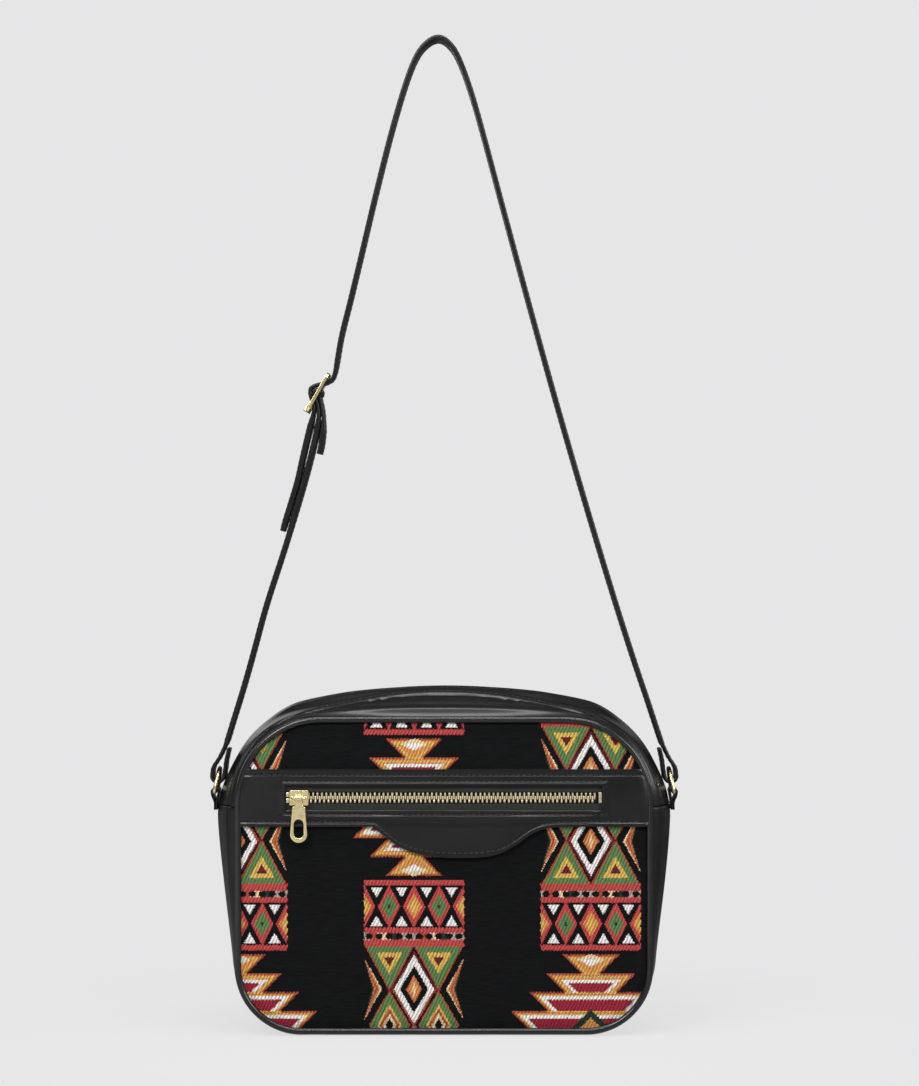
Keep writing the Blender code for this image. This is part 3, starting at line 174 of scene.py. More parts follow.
def paper_floor():
    """A wide flat sheet just under the bag."""
    work = bmesh.new()
    bmesh.ops.create_grid(work, x_segments=2, y_segments=2, size=FLOOR_HALF)
    sheet = as_mesh(work, "floor")
    sheet.materials.append(paper())
    floor = bpy.data.objects.new("floor", sheet)
    floor.location = (0.0, 0.0, -FLOOR_GAP)
    bpy.context.scene.collection.objects.link(floor)


paper_floor()


# Top and lower gusset: soft black faux leather, cut as strips and sewn to both panels over the
# piping. The sides swell out, the base is flat, and the top strip dips to the main zip.
SEAM_WIDTH = 238.0 * MM
SEAM_HEIGHT = 180.0 * MM
BOTTOM_CORNER = 37.0 * MM
TOP_CORNER = 48.0 * MM
BASE_DROP = 2.4 * MM
EDGE_STAND = 1.0 * MM
LIP_WIDTH = 3.6 * MM
CREST_RADIUS = 350.0 * MM
CREST_RISE = 17.5 * MM
TOP_SLOT_LENGTH = 168.0 * MM
TOP_SLOT_WIDTH = 10.4 * MM
VALLEY_DEPTH = 3.4 * MM
VALLEY_FADE = 8.0 * MM
JOIN_BELOW_SHOULDER = 2.8 * MM
PIPING_RADIUS = 2.0 * MM
GUSSET_WALL = 1.6 * MM
SEAM_BOTTOM = BASE_DROP
SEAM_TOP = SEAM_BOTTOM + SEAM_HEIGHT
CREST_CENTRE_Z = SEAM_TOP + CREST_RISE - CREST_RADIUS
GUSSET_EDGE_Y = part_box("lower_gusset")[1][1]
SEAM_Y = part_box("back_piping")[1][1] - PIPING_RADIUS
BOTTOM_END = SEAM_WIDTH / 2 - BOTTOM_CORNER
CORNER_END = BOTTOM_END + BOTTOM_CORNER * math.pi / 2
SHOULDER_START = CORNER_END + SEAM_HEIGHT - BOTTOM_CORNER - TOP_CORNER
SHOULDER_END = SHOULDER_START + TOP_CORNER * math.pi / 2
TOP_MIDDLE = SHOULDER_END + SEAM_WIDTH / 2 - TOP_CORNER
JOIN_AT = SHOULDER_START - JOIN_BELOW_SHOULDER
CREST_START = SHOULDER_START + TOP_CORNER * math.acos(
    (TOP_SLOT_LENGTH / 2 - SEAM_WIDTH / 2 + TOP_CORNER) / TOP_CORNER)


def spread(start, end, count):
    """Evenly spaced values from start to end."""
    return [start + (end - start) * step / (count - 1) for step in range(count)]


def smooth_between(keys, at):
    """Read a smooth curve through (place, value) keys."""
    if at <= keys[0][0]:
        return keys[0][1]
    if at >= keys[-1][0]:
        return keys[-1][1]
    low = max(index for index, key in enumerate(keys) if key[0] <= at)
    slopes = []
    for index in (low, low + 1):
        before = keys[max(index - 1, 0)]
        after = keys[min(index + 1, len(keys) - 1)]
        slopes.append((after[1] - before[1]) / (after[0] - before[0]))
    span = keys[low + 1][0] - keys[low][0]
    part = (at - keys[low][0]) / span
    rise = keys[low][1] * (2 * part ** 3 - 3 * part ** 2 + 1)
    rise += slopes[0] * span * (part ** 3 - 2 * part ** 2 + part)
    rise += keys[low + 1][1] * (3 * part ** 2 - 2 * part ** 3)
    rise += slopes[1] * span * (part ** 3 - part ** 2)
    return rise


def seam_at(distance, inset=0.0):
    """Place and outward direction on the seam line, by distance from its lowest middle point."""
    side = -1.0 if distance < 0 else 1.0
    along = abs(distance)
    half = SEAM_WIDTH / 2
    low = SEAM_BOTTOM + BOTTOM_CORNER
    high = SEAM_TOP - TOP_CORNER
    if along <= BOTTOM_END:
        x, z, angle = along, SEAM_BOTTOM, -math.pi / 2
    elif along <= CORNER_END:
        angle = (along - BOTTOM_END) / BOTTOM_CORNER - math.pi / 2
        x = half - BOTTOM_CORNER + BOTTOM_CORNER * math.cos(angle)
        z = low + BOTTOM_CORNER * math.sin(angle)
    elif along <= SHOULDER_START:
        x, z, angle = half, low + along - CORNER_END, 0.0
    elif along <= SHOULDER_END:
        angle = (along - SHOULDER_START) / TOP_CORNER
        x = half - TOP_CORNER + TOP_CORNER * math.cos(angle)
        z = high + TOP_CORNER * math.sin(angle)
    else:
        x, z, angle = TOP_MIDDLE - along, SEAM_TOP, math.pi / 2
    out_x = math.cos(angle)
    out_z = math.sin(angle)
    return side * (x - inset * out_x), z - inset * out_z, side * out_x, out_z


def crest_reach(x, z, out_x, out_z):
    """How far the arched crest lies from a seam point, along its outward direction."""
    rise = z - CREST_CENTRE_Z
    along = out_x * x + out_z * rise
    return math.sqrt(along ** 2 - (x ** 2 + rise ** 2 - CREST_RADIUS ** 2)) - along


BULGE_KEYS = [(0.0, BASE_DROP), (BOTTOM_END, BASE_DROP), (CORNER_END, 5.0 * MM),
              (SHOULDER_START - 10.4 * MM, 13.8 * MM), (SHOULDER_START + 18.0 * MM, 8.8 * MM),
              ((SHOULDER_START + SHOULDER_END) / 2, 8.5 * MM),
              (CREST_START, crest_reach(*seam_at(CREST_START)))]


def gusset_offset(distance, depth):
    """How far the gusset's outer face stands out from the seam line at a depth."""
    along = abs(distance)
    if along >= CREST_START:
        bulge = crest_reach(*seam_at(along))
    elif along <= BOTTOM_END:
        bulge = BASE_DROP
    else:
        bulge = smooth_between(BULGE_KEYS, along)
    from_edge = GUSSET_EDGE_Y - abs(depth)
    half = GUSSET_EDGE_Y
    swell = smooth_between([(0.0, 0.07), (0.1 * half, 0.28), (0.19 * half, 0.42), (0.36 * half, 0.62),
                            (0.6 * half, 0.86), (0.77 * half, 1.0), (half, 1.0)], from_edge)
    lip = min(1.0, EDGE_STAND / BASE_DROP + from_edge / LIP_WIDTH * (1.0 - EDGE_STAND / BASE_DROP))
    return max(bulge * swell, BASE_DROP * lip)


def groove(distance, width):
    """A soft valley that is deepest at zero distance."""
    return math.exp(-(distance / width) ** 2)


def share_of(distance, length):
    """How much of a length a distance covers, from 0 to 1."""
    return min(1.0, max(0.0, distance / length))


WORN_DIP = 0.8 * MM
RIDGE_AT = 12.6 * MM
RIDGE_WIDTH = 3.6 * MM
RIDGE_HEIGHT = 1.35 * MM
RIDGE_GAIN = 0.95 * MM
STRIP_HALF = 17.5 * MM
STRIP_WIDENING = 13.0 * MM
STRIP_REACH = 98.0 * MM


def valley(distance, depth):
    """How deep the top gusset dips towards the main zip, and where the pull has worn it."""
    fade = share_of(abs(distance) - CREST_START + VALLEY_FADE, VALLEY_FADE)
    slot_edge = TOP_SLOT_WIDTH / 2
    shape = [(slot_edge, VALLEY_DEPTH), (slot_edge + 1.2 * MM, VALLEY_DEPTH * 0.35),
             (slot_edge + 3.4 * MM, 0.0)]
    at_slot_end = groove(abs(distance) - CREST_START + 13.0 * MM, 13.0 * MM)
    return fade * smooth_between(shape, abs(depth)) + WORN_DIP * groove(depth, 6.5 * MM) * at_slot_end


def ridge(distance, depth):
    """The padded fold that stands up beside the main zip and its slider."""
    fade = share_of(abs(distance) - CREST_START + 26.0 * MM, 30.0 * MM)
    fade = fade * fade * (3.0 - 2.0 * fade)
    past_middle = share_of(TOP_MIDDLE - abs(distance) - 28.0 * MM, 28.0 * MM)
    height = RIDGE_HEIGHT + RIDGE_GAIN * past_middle
    return fade * height * groove(abs(depth) - RIDGE_AT, RIDGE_WIDTH)


def zip_strip_edge(x):
    """Depth of the seam that joins the zip's strip to the rest of the top, at a place across."""
    return STRIP_HALF + STRIP_WIDENING * (x / STRIP_REACH) ** 2


def seams_and_rolls(distance, depth, x):
    """The stitched edge of the zip's strip, and the roll of leather along the piping."""
    past = abs(depth) - zip_strip_edge(x)
    on_top = share_of(abs(distance) - CREST_START + 24.0 * MM, 16.0 * MM)
    fold = 0.45 * MM * groove(past + 1.8 * MM, 1.6 * MM)
    seam = 0.75 * MM * groove(past - 0.3 * MM, 0.7 * MM)
    from_edge = GUSSET_EDGE_Y - abs(depth)
    upper = share_of(abs(distance) - CORNER_END + 20.0 * MM, 60.0 * MM)
    roll = 0.95 * MM * groove(from_edge - 4.6 * MM, 1.7 * MM)
    hollow = 0.7 * MM * groove(from_edge - 8.6 * MM, 1.9 * MM)
    return on_top * (fold - seam) + upper * (roll - hollow)


def nearer_side(mark):
    """A mark past the top's middle, counted back down the other side of the bag."""
    return mark if mark <= TOP_MIDDLE else mark - 2 * TOP_MIDDLE


def gusset_point(mark, depth, lift=0.0):
    """A point on the gusset's outer face, with the soft unevenness of sewn faux leather."""
    own = nearer_side(mark)
    x, z, out_x, out_z = seam_at(own)
    out = gusset_offset(own, depth) - valley(own, depth) + ridge(own, depth)
    out += seams_and_rolls(own, depth, x)
    soft = share_of(abs(own) - BOTTOM_END, 30.0 * MM) * share_of(GUSSET_EDGE_Y - abs(depth), 8.0 * MM)
    if abs(own) > CREST_START - 40.0 * MM:
        soft *= share_of(abs(depth) - 6.0 * MM, 7.0 * MM)
    place = Vector((x * 22.0, depth * 30.0, z * 22.0))
    out += soft * 0.45 * MM * noise.noise(place + Vector((3.7, 1.1, 0.4)))
    out += lift
    return (x + out * out_x, depth, z + out * out_z)


def sheet_mesh(name, rows, closed_rows=False, skip=None):
    """A smooth mesh over a grid of points, with holes where skip says so."""
    work = bmesh.new()
    verts = [[work.verts.new(point) for point in row] for row in rows]
    count = len(rows[0]) if closed_rows else len(rows[0]) - 1
    for down in range(len(rows) - 1):
        for across in range(count):
            if skip and skip(down, across):
                continue
            beside = (across + 1) % len(rows[0])
            face = work.faces.new((verts[down][across], verts[down][beside], verts[down + 1][beside],
                                   verts[down + 1][across]))
            face.smooth = True
    return as_mesh(work, name)


def place_piece(name, data, material, nodes, body="bag"):
    """Put a piece in the scene with its finish, on its body, in the place of its CAD nodes."""
    piece = bpy.data.objects.new(name, data)
    bpy.context.scene.collection.objects.link(piece)
    data.materials.clear()
    data.materials.append(material)
    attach(piece, body)
    if nodes:
        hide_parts(*nodes)
    return piece


def new_group(name, inputs, outputs):
    """An empty shader group with named sockets, given as (name, kind, default)."""
    group = bpy.data.node_groups.new(name, "ShaderNodeTree")
    for label, kind, value in inputs:
        socket = group.interface.new_socket(label, in_out="INPUT", socket_type=kind)
        socket.default_value = value
    for label, kind in outputs:
        group.interface.new_socket(label, in_out="OUTPUT", socket_type=kind)
    start = group.nodes.new("NodeGroupInput")
    end = group.nodes.new("NodeGroupOutput")
    return group, start, end


def leather_grain_group():
    """Fine pebbled grain, soft creases and slight rubbing, from the surface's own place."""
    group, start, end = new_group(
        "faux_leather_grain",
        [("Vector", "NodeSocketVector", (0.0, 0.0, 0.0)), ("Grain Scale", "NodeSocketFloat", 900.0),
         ("Crease Scale", "NodeSocketFloat", 45.0), ("Dark", "NodeSocketColor", (0.01, 0.01, 0.011, 1.0)),
         ("Rubbed", "NodeSocketColor", (0.03, 0.03, 0.032, 1.0)), ("Roughness", "NodeSocketFloat", 0.4)],
        [("Color", "NodeSocketColor"), ("Roughness", "NodeSocketFloat"), ("Height", "NodeSocketFloat")])
    given = start.outputs
    place = given["Vector"]
    pebble = add_node(group, "ShaderNodeTexVoronoi", {"Vector": place, "Scale": given["Grain Scale"]},
                      {"Smoothness": 0.6}, feature="SMOOTH_F1").outputs["Distance"]
    crease = add_node(group, "ShaderNodeTexNoise", {"Vector": place, "Scale": given["Crease Scale"]},
                      {"Detail": 4.0, "Distortion": 0.6}).outputs[0]
    height = add_node(group, "ShaderNodeMath", {0: crease, 2: pebble}, {1: 1.6}, operation="MULTIPLY_ADD")
    rub = add_node(group, "ShaderNodeMapRange", {"Value": crease}, {"From Min": 0.42, "From Max": 0.75})
    tint = add_node(group, "ShaderNodeMix", {"Factor": rub.outputs[0], 6: given["Dark"], 7: given["Rubbed"]},
                    data_type="RGBA")
    rough = add_node(group, "ShaderNodeMath", {0: pebble, 2: given["Roughness"]}, {1: 0.12},
                     operation="MULTIPLY_ADD")
    group.links.new(tint.outputs[2], end.inputs["Color"])
    group.links.new(rough.outputs[0], end.inputs["Roughness"])
    group.links.new(height.outputs[0], end.inputs["Height"])
    return group


def new_finish(name, values):
    """A material with the plain values of its Principled shader."""
    material = bpy.data.materials.new(name)
    material.use_nodes = True
    shader = material.node_tree.nodes["Principled BSDF"]
    for socket, value in values.items():
        shader.inputs[socket].default_value = value
    return material, material.node_tree, shader


def add_bump(tree, shader, height, strength, depth):
    """Let a height disturb a shader's normal."""
    bump = add_node(tree, "ShaderNodeBump", {"Height": height}, {"Strength": strength, "Distance": depth})
    tree.links.new(bump.outputs["Normal"], shader.inputs["Normal"])


def surfaced(name, group, group_values, bump_strength, bump_depth, shader_values):
    """A material whose colour, roughness and height come from a shared surface group."""
    material, tree, shader = new_finish(name, shader_values)
    where = add_node(tree, "ShaderNodeTexCoord").outputs["Object"]
    surface = add_node(tree, "ShaderNodeGroup", {"Vector": where}, group_values, node_tree=group)
    tree.links.new(surface.outputs["Color"], shader.inputs["Base Color"])
    tree.links.new(surface.outputs["Roughness"], shader.inputs["Roughness"])
    add_bump(tree, shader, surface.outputs["Height"], bump_strength, bump_depth)
    return material


GRAIN = leather_grain_group()
LEATHER_DARK = (0.0035, 0.0035, 0.003675, 1.0)
LEATHER_RUBBED = (0.0075, 0.0075, 0.00795, 1.0)


def leather(name, grain_scale=900.0, crease_scale=45.0, roughness=0.34, depth=0.07 * MM, gloss=0.35):
    """Black faux leather: a soft polyurethane skin with a fine pressed grain."""
    return surfaced(name, GRAIN,
                    {"Grain Scale": grain_scale, "Crease Scale": crease_scale, "Dark": LEATHER_DARK,
                     "Rubbed": LEATHER_RUBBED, "Roughness": roughness},
                    0.6, depth, {"Specular IOR Level": 0.20, "Coat Weight": gloss, "Coat Roughness": 0.17})


gusset_leather = leather("gusset_faux_leather")
GUSSET_GAP = 0.3 * MM


def thickened(piece, wall, edge_width):
    """Give a sheet its wall, towards the inside, and turned edges."""
    shell = piece.modifiers.new("wall", "SOLIDIFY")
    shell.thickness = wall
    shell.offset = -1.0
    rim = piece.modifiers.new("turned_edges", "BEVEL")
    rim.width = edge_width
    rim.segments = 3
    rim.limit_method = "ANGLE"
    rim.angle_limit = math.radians(60)


def gusset_strip(name, marks, depths, opening=None):
    """One strip of gusset, open over the zip where an opening is given."""
    rows = [[gusset_point(mark, depth) for depth in depths] for mark in marks]
    middle = len(depths) // 2 - 1

    def over_zip(down, across):
        inside = opening and marks[down] > opening[0] - 1e-6 and marks[down + 1] < opening[1] + 1e-6
        return inside and across == middle

    strip = sheet_mesh(name, rows, skip=over_zip)
    thickened(place_piece(name + "_soft", strip, gusset_leather, [name]),
              GUSSET_WALL, 0.5 * MM)


def both_sides(values):
    """Rising values and their mirror image."""
    return [-value for value in reversed(values)] + list(values)


fine_depths = [TOP_SLOT_WIDTH / 2 + step for step in (0.0, 0.5 * MM, 1.0 * MM, 1.7 * MM, 2.6 * MM, 3.6 * MM)]
fine_depths += spread(10.2 * MM, GUSSET_EDGE_Y - 0.8 * MM, 34) + [GUSSET_EDGE_Y]
below = spread(2.0 * MM, BOTTOM_END, 30) + spread(BOTTOM_END, CORNER_END, 30)[1:]
below += spread(CORNER_END, JOIN_AT - GUSSET_GAP, 44)[1:]
gusset_strip("lower_gusset", both_sides(below), both_sides(fine_depths))
above = spread(JOIN_AT + GUSSET_GAP, CREST_START - VALLEY_FADE, 36)
above += spread(CREST_START - VALLEY_FADE, CREST_START, 9)[1:] + spread(CREST_START, TOP_MIDDLE, 50)[1:]
over = above + [2 * TOP_MIDDLE - mark for mark in reversed(above[:-1])]
gusset_strip("top_gusset", over, both_sides(fine_depths), (CREST_START, 2 * TOP_MIDDLE - CREST_START))


# Piping: a cord inside a folded strip of the same leather, sewn between each panel and the gusset.
# It gives the bag its round rim and catches a thin highlight all the way round.
piping_leather = leather("piping_faux_leather", grain_scale=1100.0, crease_scale=120.0, roughness=0.24,
                         depth=0.04 * MM, gloss=0.8)


def seam_loop(inset, corner_steps, straight_step):
    """Points right round the seam line, set in by an inset."""
    marks = spread(0.0, BOTTOM_END, int(BOTTOM_END / straight_step))[1:]
    marks += spread(BOTTOM_END, CORNER_END, corner_steps)[1:]
    marks += spread(CORNER_END, SHOULDER_START, int((SHOULDER_START - CORNER_END) / straight_step))[1:]
    marks += spread(SHOULDER_START, SHOULDER_END, corner_steps)[1:]
    marks += spread(SHOULDER_END, TOP_MIDDLE, int((TOP_MIDDLE - SHOULDER_END) / straight_step))[1:]
    right = [seam_at(mark, inset)[:2] for mark in marks]
    bottom = [seam_at(0.0, inset)[:2]]
    return bottom + right + [(-x, z) for x, z in reversed(right[:-1])]


def tube_through(name, points, radius, closed=False, resolution=5):
    """A round tube through a list of points, as a curve."""
    curve = bpy.data.curves.new(name, "CURVE")
    curve.dimensions = "3D"
    curve.bevel_depth = radius
    curve.bevel_resolution = resolution
    curve.use_fill_caps = True
    spline = curve.splines.new("POLY")
    spline.points.add(len(points) - 1)
    for point, place in zip(spline.points, points):
        point.co = (*place, 1.0)
    spline.use_cyclic_u = closed
    spline.use_smooth = True
    return curve


for side, place_name in ((-1, "front"), (1, "back")):
    path = []
    for index, (x, z) in enumerate(seam_loop(0.0, 26, 5.0 * MM)):
        swell = 0.12 * MM * noise.noise(Vector((x * 60.0, side * 5.0, z * 60.0)))
        path.append((x + swell, side * SEAM_Y, max(z + swell, SEAM_BOTTOM)))
    rim_tube = tube_through(place_name + "_piping_cord", path, PIPING_RADIUS, closed=True)
    place_piece(place_name + "_piping_soft", rim_tube, piping_leather,
                [place_name + "_piping"])


# Front panel: a thick jacquard cloth in the manner of a kilim. Black chenille ground, with coloured
# yarns floated over it in steep slanted stitches, so that every figure has a finely stepped edge.
COLUMN_WIDTH = 57.7 * MM
COLUMN_PITCH = 102.1 * MM
COLUMN_MIDDLE_X = -17.3 * MM
DIAMONDS_OUTER_Z = 133.0 * MM
DIAMONDS_MIDDLE_Z = 6.0 * MM
BAND_REPEAT = 251.6 * MM
STITCH_PITCH = 2.0 * MM
STITCH_SLANT = 0.45
CLOTH_CELL = 0.62 * MM
CLOTH_RELIEF = 0.25 * MM
CLOTH_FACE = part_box("front_fabric")[0][1] + 0.4 * MM
POCKET_LOW, POCKET_HIGH = (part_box("pocket_panel")[end][2] for end in (0, 1))
POCKET_HEM = POCKET_LOW + 17.7 * MM


def display_colour(red, green, blue):
    """A colour seen on a screen, turned into linear light."""
    def linear(value):
        share = value / 255
        return share / 12.92 if share <= 0.04045 else ((share + 0.055) / 1.055) ** 2.4
    return linear(red), linear(green), linear(blue)


YARNS = {
    "ground": display_colour(7, 8, 9),
    "white": display_colour(246, 242, 238),
    "cream": display_colour(240, 214, 172),
    "gold": display_colour(226, 184, 92),
    "amber": display_colour(222, 152, 84),
    "orange": display_colour(212, 124, 76),
    "rust": display_colour(172, 82, 60),
    "red": display_colour(196, 76, 74),
    "crimson": display_colour(158, 42, 58),
    "maroon": display_colour(104, 36, 46),
    "green": display_colour(96, 132, 80),
    "moss": display_colour(34, 56, 46),
    "grey": display_colour(176, 166, 158),
}


def in_diamond(across, up, half_width, half_height):
    """Share of the way from a diamond's middle to its edge, under 1 inside it."""
    return abs(across) / half_width + abs(up) / half_height


def diamond_band(across, up):
    """Two stacked diamonds with green hills, nested rhombi between them and chevrons at the sides."""
    beside = abs(across)
    rise = up - 20.8 * MM
    lozenge = in_diamond(across, rise, 12.9 * MM, 22.2 * MM)
    if lozenge < 1.0:
        if in_diamond(across, rise, 1.0 * MM, 4.4 * MM) < 1.0:
            return "cream"
        if in_diamond(across, rise, 4.65 * MM, 7.9 * MM) < 1.0:
            return "orange" if in_diamond(across, rise, 3.0 * MM, 5.6 * MM) > 1.0 else "amber"
        if in_diamond(across, rise, 8.2 * MM, 13.8 * MM) < 1.0:
            return "ground"
        if in_diamond(across, rise, 11.5 * MM, 19.7 * MM) < 1.0:
            return "white"
        return "maroon" if rise > 0 else "rust"
    side = beside - 14.2 * MM
    if rise > 0:
        hill = abs(side) - (rise - 0.6 * MM) * 0.545
        if hill < 0.0:
            inner = abs(side) - (up - 29.4 * MM) * 0.60
            core = abs(side) - (up - 34.0 * MM) * 0.62
            if core < 0.0 and up < 39.4 * MM:
                return "maroon"
            if inner < 0.0 and up < 42.0 * MM:
                return "gold"
            return "green"
        if hill < 1.0 * MM:
            return "rust"
    else:
        rhomb = in_diamond(side, up, 12.0 * MM, 20.2 * MM)
        nested = ((0.20, "ground"), (0.34, "cream"), (0.48, "rust"), (0.60, "gold"), (0.93, "green"),
                  (1.0, "rust"))
        for size, yarn in nested:
            if rhomb < size:
                return yarn
    if lozenge < 1.22 and abs(rise) < 2.4 * MM:
        return "maroon"
    outward = abs(rise)
    chevron_in = 18.6 * MM + 0.57 * outward
    chevron_out = 24.2 * MM + 0.26 * outward
    if chevron_in < beside < chevron_out and beside < COLUMN_WIDTH / 2:
        part = (beside - chevron_in) / (chevron_out - chevron_in)
        return ("cream", "orange", "rust", "orange", "moss")[min(4, int(part * 5))]
    return "ground"


def bead_band(across, up):
    """Black beads in a row, with pale slanted stitches between them."""
    pitch = COLUMN_WIDTH / 10
    bead = (across / pitch) % 1.0 - 0.5
    if (bead * pitch / (2.15 * MM)) ** 2 + (up / (1.75 * MM)) ** 2 < 1.0:
        return "ground"
    number = int(math.floor(across / pitch + 0.5 + 0.25 * up / MM / 2))
    return ("grey", "rust", "cream", "moss", "grey")[number % 5]


def lozenge_band(across, up):
    """Red-edged diamonds in gold and green, with white triangles above and below between them."""
    pitch = COLUMN_WIDTH / 4
    place = across / pitch
    nearest = round(place)
    share = in_diamond(across - nearest * pitch, up, 6.5 * MM, 12.6 * MM)
    fill = in_diamond(across - nearest * pitch, up, 4.6 * MM, 7.4 * MM)
    if fill < 1.0:
        if nearest % 2:
            return "moss" if fill < 0.22 else "green"
        return "amber" if fill > 0.55 else "gold"
    if share < 1.0:
        return "red"
    between = (math.floor(place) + 0.5) * pitch
    height = 11.2 * MM - abs(up)
    if 0.0 < height < 5.9 * MM and abs(across - between) < 3.45 * MM * (1.0 - height / (5.9 * MM)):
        return "white"
    return "ground"


def tree_layer(across, below_top, half_top, white_at, core_at):
    """One inverted layer of the tree: rust rim, gold, a white line and a crimson core."""
    edge = half_top - below_top - abs(across)
    depth = min(edge * 0.75, below_top)
    if depth < 0.0:
        return "ground"
    if depth < 0.9 * MM:
        return "rust"
    if depth < 1.5 * MM:
        return "orange"
    if white_at and depth > white_at * MM:
        return "crimson" if depth > core_at * MM else "white"
    return "amber" if depth > 2.6 * MM else "gold"


TREE_LAYER = 10.9 * MM
TREE_HALF_TOPS = (16.4, 25.9, 35.6, 46.2)
TREE_WHITE_AT = (0, 3.6, 2.3, 2.3)
TREE_CORE_AT = (0, 5.4, 4.2, 4.2)


def tree_band(across, up):
    """Half of the stepped tree, whose inverted layers widen towards its middle."""
    beside = abs(across)
    if up > 31.6 * MM and beside < up - 31.6 * MM:
        return "amber" if beside < up - 36.4 * MM else "moss"
    for step in range(3, -1, -1):
        below_top = up - step * TREE_LAYER
        if below_top < 0.0 or (step == 0 and below_top > TREE_LAYER):
            continue
        if step == 0:
            if 2.9 * MM < below_top < 7.0 * MM and beside < 1.3 * (7.0 * MM - below_top):
                return "white"
            if in_diamond(across, below_top - 3.2 * MM, 8.4 * MM, 3.6 * MM) < 1.0:
                return "cream"
        if step and below_top < 0.8 * MM and beside < TREE_HALF_TOPS[step - 1] * MM - TREE_LAYER:
            return "gold"
        return tree_layer(across, below_top, TREE_HALF_TOPS[step] * MM, TREE_WHITE_AT[step],
                          TREE_CORE_AT[step])
    return "ground"


def woven_yarn(x, z):
    """The yarn that lies on top at a point of the cloth."""
    column = round((x - COLUMN_MIDDLE_X) / COLUMN_PITCH)
    across = x - COLUMN_MIDDLE_X - column * COLUMN_PITCH
    up = abs(z - (DIAMONDS_OUTER_Z if column % 2 else DIAMONDS_MIDDLE_Z))
    if up > BAND_REPEAT / 2 + 4.0 * MM:
        up = BAND_REPEAT - up
    step = ((across - STITCH_SLANT * z) / STITCH_PITCH) % 1.0
    level = up
    up += (step - 0.5) * 0.55 * MM
    if up > 85.6 * MM:
        return tree_band(across, up - 86.2 * MM)
    if abs(across) > COLUMN_WIDTH / 2 + (step - 0.5) * 0.9 * MM:
        return "ground"
    if up < 45.3 * MM:
        return diamond_band(across, up)
    if 49.4 * MM < up < 53.2 * MM:
        return bead_band(across, up - 51.3 * MM)
    if 56.3 * MM < up < 80.7 * MM:
        return lozenge_band(across, level - 68.5 * MM)
    return "red" if up < 83.8 * MM else "ground"


def inside_seam(x, z, inset):
    """Whether a point of the panel lies inside the seam line by more than an inset."""
    for low, corner in ((True, BOTTOM_CORNER), (False, TOP_CORNER)):
        middle_z = SEAM_BOTTOM + corner if low else SEAM_TOP - corner
        past_x = abs(x) - (SEAM_WIDTH / 2 - corner)
        past_z = middle_z - z if low else z - middle_z
        if past_x > 0 and past_z > 0 and math.hypot(past_x, past_z) > corner - inset:
            return False
    return abs(x) < SEAM_WIDTH / 2 - inset and SEAM_BOTTOM + inset < z < SEAM_TOP - inset


def weave_group():
    """Slanted floats of the figures, with painted shade in the grooves between them and painted highlight on
    their crests, and the fuzzy streaks of the ground, as colour and height.
    """
    group, start, end = new_group(
        "woven_floats",
        [("Vector", "NodeSocketVector", (0.0, 0.0, 0.0)), ("Yarn", "NodeSocketColor", (0.1, 0.1, 0.1, 1.0)),
         ("Figure", "NodeSocketFloat", 0.0), ("Stitch Pitch", "NodeSocketFloat", 0.002)],
        [("Color", "NodeSocketColor"), ("Height", "NodeSocketFloat")])
    def maths(kind, *values):
        """A maths node with sockets or numbers as its inputs."""
        numbers = {at: value for at, value in enumerate(values) if isinstance(value, float)}
        sockets = {at: value for at, value in enumerate(values) if not isinstance(value, float)}
        return add_node(group, "ShaderNodeMath", sockets, numbers, operation=kind).outputs[0]

    def cloud(place, **values):
        """Noise at a place, with its values."""
        return add_node(group, "ShaderNodeTexNoise", {"Vector": place}, values).outputs[0]

    given = start.outputs
    split = add_node(group, "ShaderNodeSeparateXYZ", {0: given["Vector"]}).outputs
    wander = cloud(given["Vector"], Scale=260.0, Detail=2.0)
    phase = maths("MULTIPLY_ADD", split["Z"], -STITCH_SLANT, split["X"])
    phase = maths("DIVIDE", phase, given["Stitch Pitch"])
    phase = maths("MULTIPLY_ADD", wander, 0.8, phase)
    wave = maths("SINE", maths("MULTIPLY", phase, 2 * math.pi))
    stitch = maths("MULTIPLY_ADD", wave, 0.5, 0.5)
    pick = maths("SINE", maths("MULTIPLY", split["Z"], 2 * math.pi / CLOTH_CELL))
    stretch = add_node(group, "ShaderNodeMapping", {"Vector": given["Vector"]},
                       {"Scale": (110.0, 110.0, 1500.0)}).outputs[0]
    streak = cloud(stretch, Scale=1.0, Detail=5.0, Roughness=0.65)
    patch = cloud(given["Vector"], Scale=900.0, Detail=3.0)
    # The floats' colour follows their height: painted shade in the grooves between them, painted highlight on
    # their crests.
    figure_shade = maths("MULTIPLY_ADD", stitch, 0.44, 0.41)
    figure_shade = maths("MULTIPLY", figure_shade, maths("MULTIPLY_ADD", patch, 0.9, 0.62))
    ground_shade = maths("MULTIPLY_ADD", streak, 4.6, -1.15)
    shade = add_node(group, "ShaderNodeMix", {"Factor": given["Figure"], 2: ground_shade, 3: figure_shade})
    tinted = add_node(group, "ShaderNodeVectorMath", {0: given["Yarn"], "Scale": shade.outputs[0]},
                      operation="SCALE")
    raised = maths("MULTIPLY", maths("MULTIPLY_ADD", stitch, 1.0, 0.6), given["Figure"])
    raised = maths("MULTIPLY_ADD", streak, 0.9, raised)
    raised = maths("MULTIPLY_ADD", pick, 0.10, raised)
    raised = maths("MULTIPLY_ADD", patch, 0.35, raised)
    group.links.new(tinted.outputs[0], end.inputs["Color"])
    group.links.new(raised, end.inputs["Height"])
    return group


